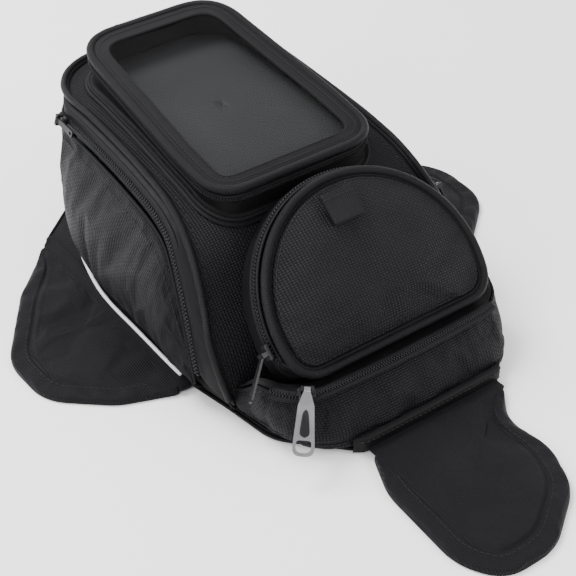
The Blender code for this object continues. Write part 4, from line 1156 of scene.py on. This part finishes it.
def make_loop():
    """Folded webbing tab sewn on at the top of the D, its lower end rolled thick."""
    base = d_world(LOOP_SPOT, D_DOME + 0.6)
    side, down = (D_MATRIX @ Vector(axis) for axis in ((1, 0, 0), (0, 1, 0)))
    lean = math.radians(6)
    along = (down * math.cos(lean) - D_OUT * math.sin(lean)).normalized()
    out = (D_OUT * math.cos(lean) + down * math.sin(lean)).normalized()
    length, half = 17.0, 1.5
    outline = [(length * (1 - k), half * (0.75 + 0.25 * k)) for k in stations(0, 1, 12)]
    outline += [(-half * math.sin(k) * 1.1, half * math.cos(k) * 1.15) for k in stations(0, math.pi, 9)[1:-1]]
    outline += [(length * k, -half * (1 - 0.25 * k)) for k in stations(0, 1, 12)]
    width, count = 12, len(outline)
    columns = [[base + side * k + along * a + out * (b + 1.4) for k in stations(-11, 11, width)]
               for a, b in outline]
    faces, corners = grid_faces(columns, grid_uv(columns))
    last = (count - 1) * width
    near = tuple(i * width for i in range(count))
    for face in (near, tuple(i + width - 1 for i in reversed(near)), (0, width - 1, last + width - 1, last)):
        faces.append(face)
        corners += [(0.0, 0.0)] * len(face)
    points = [p for row in columns for p in row]
    obj = facing_out(piece("webbing_tab", points, faces, corners, "webbing", "d_cover"))
    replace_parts(obj, "webbing_loop")
    line = [base + side * k + along * 14 + out * 4 for k in stations(-9.5, 9.5, 8)]
    stitches("webbing_stitches", obj, line, "d_cover", toward=-out, pitch=3)


# ---------------------------------------------------------------- lower front pocket

LOWER_ROWS, LOWER_COLUMNS = 30, 150
BAND_CENTRE_X = 6
LOWER_CENTRE_Y = -90
LOWER_FEET = [(x, y, WALL_FOOT_Z) for x, y in LOWER_FOOT_EDGE]


def from_middle(p):
    """Level direction away from the middle of the lower pocket."""
    return Vector((p.x, p.y - LOWER_CENTRE_Y, 0)).normalized()


def make_lower_pocket():
    last = len(LOWER_TOP_EDGE) - 1
    run = stations(last, -last, LOWER_COLUMNS)
    tops, foots, roofs = (lower_path(edge, last, -last, LOWER_COLUMNS)
                          for edge in (LOWER_TOP_EDGE, LOWER_FEET, LOWER_ROOF_EDGE))
    for i, s in enumerate(run):
        end = smoothstep((abs(s) - 4.1) / 0.9)
        tops[i] += Vector((-2.5 * end * (1 if s > 0 else -1), 3 * end, -17 * end))
    outer, back = [], []
    for v in stations(0, 1, LOWER_ROWS):
        swell = 4.0 * math.sin(math.pi * v)
        places = [(top.lerp(foot, v), from_middle(foot)) for top, foot in zip(tops, foots)]
        outer.append([p + out * swell for p, out in places])
        back.append([p + out * (swell - 1.9) if 0 < v < 1 else p - out * 0.6 for p, out in places])

    def folds(r, c, p):
        v = r / (LOWER_ROWS - 1)
        held = math.sin(math.pi * v)
        left = smoothstep((-p.x - 20) / 40)
        upright = wave((p.x * 1.6, p.y, p.z * 0.3), 10, 3.3) * (0.5 + 1.3 * left)
        groove = -1.4 * math.exp(-((v - 0.86) / 0.05) ** 2)
        return held ** 0.6 * (upright + 0.7 * wave(p, 24, 1.7)) + groove

    face, pins = pad("lower_pocket_pad", pushed(outer, folds), back, "coarse", "bag")
    puff(face, pins, pressure=1.6, cap=2.5, slack=0.03)
    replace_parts(face, "lower_pocket_face")
    stitches("lower_pocket_stitches", face, outer[26][6:-6], "bag", pitch=POCKET_STITCH)
    tube("lower_pocket_hem", resample(outer[0], 2), 1.0, "binding", "bag", around=8)

    fronts = [top + Vector((0, 2.0, 0)) for top in tops]
    seams = [roof.lerp(front, smoothstep((abs(s) - 3.4) / 1.5)) for s, front, roof in zip(run, fronts, roofs)]
    rows = [[seam.lerp(front, v) + Z_AXIS * 1.5 for front, seam in zip(fronts, seams)]
            for v in stations(0, 1, 12)]
    rows = pushed(rows, lambda r, c, p: math.sin(math.pi * r / 11) * wave(p, 14, 2.5))
    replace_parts(sheet("lower_pocket_top", rows, "nylon", "bag", thickness=1.3), "lower_pocket_roof")

    edge = lower_path(LOWER_TOP_EDGE, *LOWER_ZIP_ENDS, 120)
    path = [p + from_middle(p) * 1.7 + Z_AXIS * 2.0 for p in edge]
    normals = [(from_middle(p) * 0.45 + Z_AXIS * 0.9).normalized() for p in edge]
    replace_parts(ribbon("lower_zip_tape", path, normals, 4.0, "tape", "bag", height=0.8), "lower_pocket_zip")
    zip_teeth("lower_zip_teeth", path, normals, 1.35, "bag", pitch=1.8, lift=1.1)


def foot_y(x):
    """How far forward the lower pocket's foot stands at x, found by halving."""
    reach = min(abs(x - LOWER_CENTRE_X), 60)
    low, high = 0.0, 3.0
    for _ in range(24):
        middle = (low + high) / 2
        low, high = (middle, high) if spline_point(LOWER_FEET, middle).x < reach else (low, middle)
    return spline_point(LOWER_FEET, low).y


def make_front_band():
    rows = []
    profile = [(-1.0, 11.6), (-3.2, 12.1), (-4.6, 11.3), (-5.3, 9.2), (-5.4, 6.0), (-5.1, 3.2), (-4.5, 1.2),
               (-3.0, 0.35), (-1.0, 0.4)]
    for out, z in profile:
        row = []
        for k in stations(1, -1, 90):
            x = BAND_CENTRE_X + 57 * k
            thin = 1 - 0.75 * smoothstep((abs(k) - 0.9) / 0.1)
            row.append(Vector((x, foot_y(x) - 0.6 + (out + 0.6) * thin + 0.3 * wave((x, 0, z), 12, 1.1),
                               z * (1 - 0.1 * abs(k) ** 8))))
        rows.append(row)
    band = sheet("front_band_cloth", rows, "nylon", "bag", thickness=0)
    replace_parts(band, "front_band")
    for label, z in (("upper", 9.6), ("lower", 2.2)):
        line = [Vector((BAND_CENTRE_X + 53 * k, -150, z)) for k in stations(1, -1, 60)]
        stitches(f"front_band_stitches_{label}", band, line, "bag", toward=Vector((0, 1, 0)),
                 pitch=POCKET_STITCH)


# ---------------------------------------------------------------- flaps

def inset(outline, distance, free):
    """The outline moved inward by a distance that fades out towards the sewn edge."""
    moved = []
    for i, p in enumerate(outline):
        tangent = (outline[(i + 2) % len(outline)] - outline[i - 2]).normalized()
        moved.append(p - Vector((tangent.y, -tangent.x)) * distance * free[i])
    return smooth_loop(moved, 1 + int(distance * 0.7)) if distance > 1 else moved


def make_flap(name, outline, body, root, magnets):
    """Padded flap: a hem with a stitched groove round its free edge, and a non-slip lining."""
    outline = resample(outline, 2.4, True)
    if not outline_turns_left(outline):
        outline = outline[::-1]
    free = smooth_loop([0.06 + 0.94 * smoothstep(root(p) / 22) for p in outline], 4)
    loops = [(0.0, 0.3), (0.25, 1.6), (0.9, 3.3), (2.2, 4.5), (4.2, 5.0), (7.0, 5.1)]
    groove = ((-2.6, 4.95), (-1.3, 4.6), (0, 3.5), (1.3, 4.6), (3.2, 5.3))
    loops += [(FLAP_HEM + reach, height) for reach, height in groove]
    rows = [[raised(p, height + (5.0 - height) * (1 - f ** 3) * (distance > 2))
             for p, f in zip(inset(outline, distance, free), free)] for distance, height in loops]
    last = rows[-1]
    centre = sum(last, Vector()) / len(last)
    for k in stations(1, 0.02, 24)[1:]:
        rows.append([Vector((centre.x + (p.x - centre.x) * k, centre.y + (p.y - centre.y) * k, 5.35))
                     for p in last])

    def lie(p):
        soft = 0.4 * wave((p.x, p.y, 0), 30, 2.7) + 0.2 * wave((p.x, p.y * 0.6, 0), 10, 4.1)
        bump = sum(0.4 * math.exp(-(((p.x - x) ** 2 + (p.y - y) ** 2) / 17 ** 2) ** 3) for x, y in magnets)
        return soft + bump

    shaped = [[raised(p, p.z + (lie(p) if r > 2 else 0)) for p in row] for r, row in enumerate(rows)]
    back = [[raised(p, 0.05) for p in row] for row in rows]
    uv = [[(p.x, p.y) for p in row] for row in shaped]
    flap, pins = ring_pad(name, shaped, back, uv, "fine", body, held_rows=(0, 1, 7, 8, 9))
    puff(flap, pins, pressure=0.7, cap=1.2, slack=0.015)
    flap.data.materials.append(MAT["grip"])
    for face in flap.data.polygons:
        if all(flap.data.vertices[v].co.z < 0.3 * MM for v in face.vertices):
            face.material_index = 1
    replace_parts(flap, *[f"{body}_{part}" for part in FLAP_PARTS])
    line = [raised(p, 0) for p, f in zip(inset(outline, FLAP_HEM - 2.4, free), free) if f > 0.9]
    turn = max(range(len(line)), key=lambda i: (line[i] - line[i - 1]).length)
    stitches(f"{name}_stitches", flap, line[turn:] + line[:turn], body, toward=-Z_AXIS)


def hinge_cloth(name, near, far):
    """Cloth that joins a flap to the base."""
    rows = []
    for k in stations(0, 1, 15):
        rows.append([a.lerp(b, k) + Z_AXIS * (-0.5 * math.sin(math.pi * k) + 0.25 * wave(a.lerp(b, k), 14, 3))
                     for a, b in zip(near, far)])
    if (rows[0][1] - rows[0][0]).cross(rows[1][0] - rows[0][0]).z < 0:
        rows = [row[::-1] for row in rows]
    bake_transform(sheet(name, rows, "fine", None, thickness=3.2))


def make_flaps():
    for side, label in SIDES:
        outline = [Vector((side * p.x, p.y)) for p in rounded(WING, 14)]
        make_flap(f"{label}_wing_flap", outline, f"{label}_wing", lambda p: abs(p.x) - WING_FOLD_X,
                  [(side * x, y) for x, y in WING_MAGNETS])
        run = stations(-44.5, 135.5, 90)
        near = [Vector((side * 94.0, y, 4.9)) for y in run]
        far = [Vector((side * (104.2 - 7.5 * smoothstep((y - 126) / 9.5)), y, 5.0)) for y in run]
        hinge_cloth(f"{label}_wing_root", near, far)
    make_flap("tongue_flap", rounded(TONGUE, 14), "tongue", lambda p: TONGUE_FOLD_Y - p.y, TONGUE_MAGNETS)
    run = stations(-43.0, 55.0, 60)
    near, far = ([Vector((x, y, z)) for x in run] for y, z in ((-146.5, 4.9), (-154.8, 5.0)))
    hinge_cloth("tongue_root", near, far)


# ---------------------------------------------------------------- pieces kept from the frame

def make_base():
    outline = resample([Vector(p) for p in rounded(both_halves(BASE_HALF))], 4, True)
    rows = filled(outline, lambda x, y: UNDERSIDE_THICKNESS, 12)
    base = sheet("underside_cloth", rows, "fine", "bag", thickness=UNDERSIDE_THICKNESS - 0.1, closed=True,
                 flat=True)
    base.data.materials.append(MAT["grip"])
    base.modifiers["thickness"].material_offset = 1
    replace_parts(base, "underside_panel")
    hem = [raised(p, UNDERSIDE_THICKNESS / 2 + 0.1) for p in outline]
    tube("underside_hem", hem, UNDERSIDE_THICKNESS / 2, "binding", "bag", closed=True)


def make_pull_inlay():
    """Dark sunk window of the silver pull, laid on the face of its plate."""
    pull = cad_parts["lower_pocket_pull"]
    points = [pull.matrix_world @ v.co / MM for v in pull.data.vertices]
    plate = max(pull.data.polygons, key=lambda face: face.area)
    up = (pull.matrix_world.to_3x3() @ plate.normal).normalized()
    up = up if up.z > 0 else -up
    face = max(p.dot(up) for p in points)
    hinge = Vector(LOWER_PULL_HINGE)
    tip = max(points, key=lambda p: (p - hinge).length)
    middle = sum(points, Vector()) / len(points)
    along = middle - hinge
    along = (along - up * along.dot(up)).normalized()
    across = up.cross(along)
    start = hinge + across * (middle - hinge).dot(across)
    start += up * (face - start.dot(up))
    reach = (tip - start).dot(along)
    rows = []
    for k in stations(0, 1, 16):
        far = reach * (0.30 + 0.42 * k)
        half = (1.5 + 1.7 * k) * math.sqrt(max(0.0, 1 - (2 * k - 1) ** 6))
        rows.append([start + along * far + across * (half * w) + up * 0.12 for w in stations(-1, 1, 8)])
    if (rows[1][0] - rows[0][0]).cross(rows[1][1] - rows[1][0]).dot(up) < 0:
        rows = [row[::-1] for row in rows]
    sheet("silver_pull_window", rows, "dark_metal", "lower_zip_pull", thickness=0.2)


def finish_frame_parts():
    metal = [f"{place}_{part}" for place in ("pocket", "window", "lid") for part in ("slider", "pull")]
    looks = {**dict.fromkeys(metal, "dark_metal"), "lower_pocket_pull": "silver", "base_board": "board",
             "bottom_panel": "nylon"}
    for name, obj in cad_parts.items():
        for key, look in looks.items():
            if name.endswith(key) and (name, look) != ("lower_pocket_pull", "dark_metal"):
                obj.data.materials.clear()
                obj.data.materials.append(MAT[look])


FLOOR_HALF, FLOOR_Z = 6.0, -0.0006
CAMERA_TURN, CAMERA_LIFT = math.radians(-35.8), math.radians(39.3)
CAMERA_AIM = Vector((0.0067, 0, 0))
CAMERA_DISTANCE = 0.940
CAMERA_LENS, CAMERA_SENSOR = 89.875, 36
LAMPS = [("key", (-0.35, 0.75, 1.2), 0.7, 34), ("front", (0.75, -1.1, 0.9), 0.7, 14),
         ("side", (-1.25, -0.35, 0.75), 0.6, 12)]


def make_studio():
    scene = bpy.context.scene
    floor = bpy.data.meshes.new("floor")
    corners = ((-1, -1), (1, -1), (1, 1), (-1, 1))
    floor.from_pydata([(FLOOR_HALF * x, FLOOR_HALF * y, FLOOR_Z) for x, y in corners], [], [(0, 1, 2, 3)])
    obj = bpy.data.objects.new("studio_floor", floor)
    scene.collection.objects.link(obj)
    n = Nodes("pale_floor")
    grain = n.noise(3.0, 2.0)
    n.set(Base_Color=n.mix_colour(grain, (0.95, 0.95, 0.95, 1), (0.97, 0.97, 0.97, 1)), Roughness=0.7)
    floor.materials.append(n.material)

    world = bpy.data.worlds.new("studio")
    world.use_nodes = True
    back = world.node_tree.nodes["Background"]
    back.inputs[0].default_value = (1, 1, 1, 1)
    back.inputs[1].default_value = 1.15
    scene.world = world
    for name, place, size, power in LAMPS:
        light = bpy.data.lights.new(name, "AREA")
        light.size = size
        light.energy = power
        lamp = bpy.data.objects.new(name, light)
        lamp.location = place
        lamp.rotation_euler = (Vector((0, 0, 0.05)) - Vector(place)).to_track_quat("-Z", "Y").to_euler()
        scene.collection.objects.link(lamp)

    turn, lift = CAMERA_TURN, CAMERA_LIFT
    back_way = Vector((math.sin(turn) * math.cos(lift), -math.cos(turn) * math.cos(lift), math.sin(lift)))
    right = Vector((math.cos(turn), math.sin(turn), 0))
    camera = bpy.data.objects.new("camera", bpy.data.cameras.new("camera"))
    camera.data.sensor_width = CAMERA_SENSOR
    camera.data.lens = CAMERA_LENS
    matrix = Matrix((right, back_way.cross(right), back_way)).transposed().to_4x4()
    matrix.translation = CAMERA_AIM + back_way * CAMERA_DISTANCE
    camera.matrix_world = matrix
    scene.collection.objects.link(camera)
    scene.camera = camera


make_studio()
make_walls()
make_top()
make_side_pockets()
make_pouch()
make_d_pocket()
make_lower_pocket()
make_front_band()
make_base()
make_flaps()
make_pull_inlay()
finish_frame_parts()
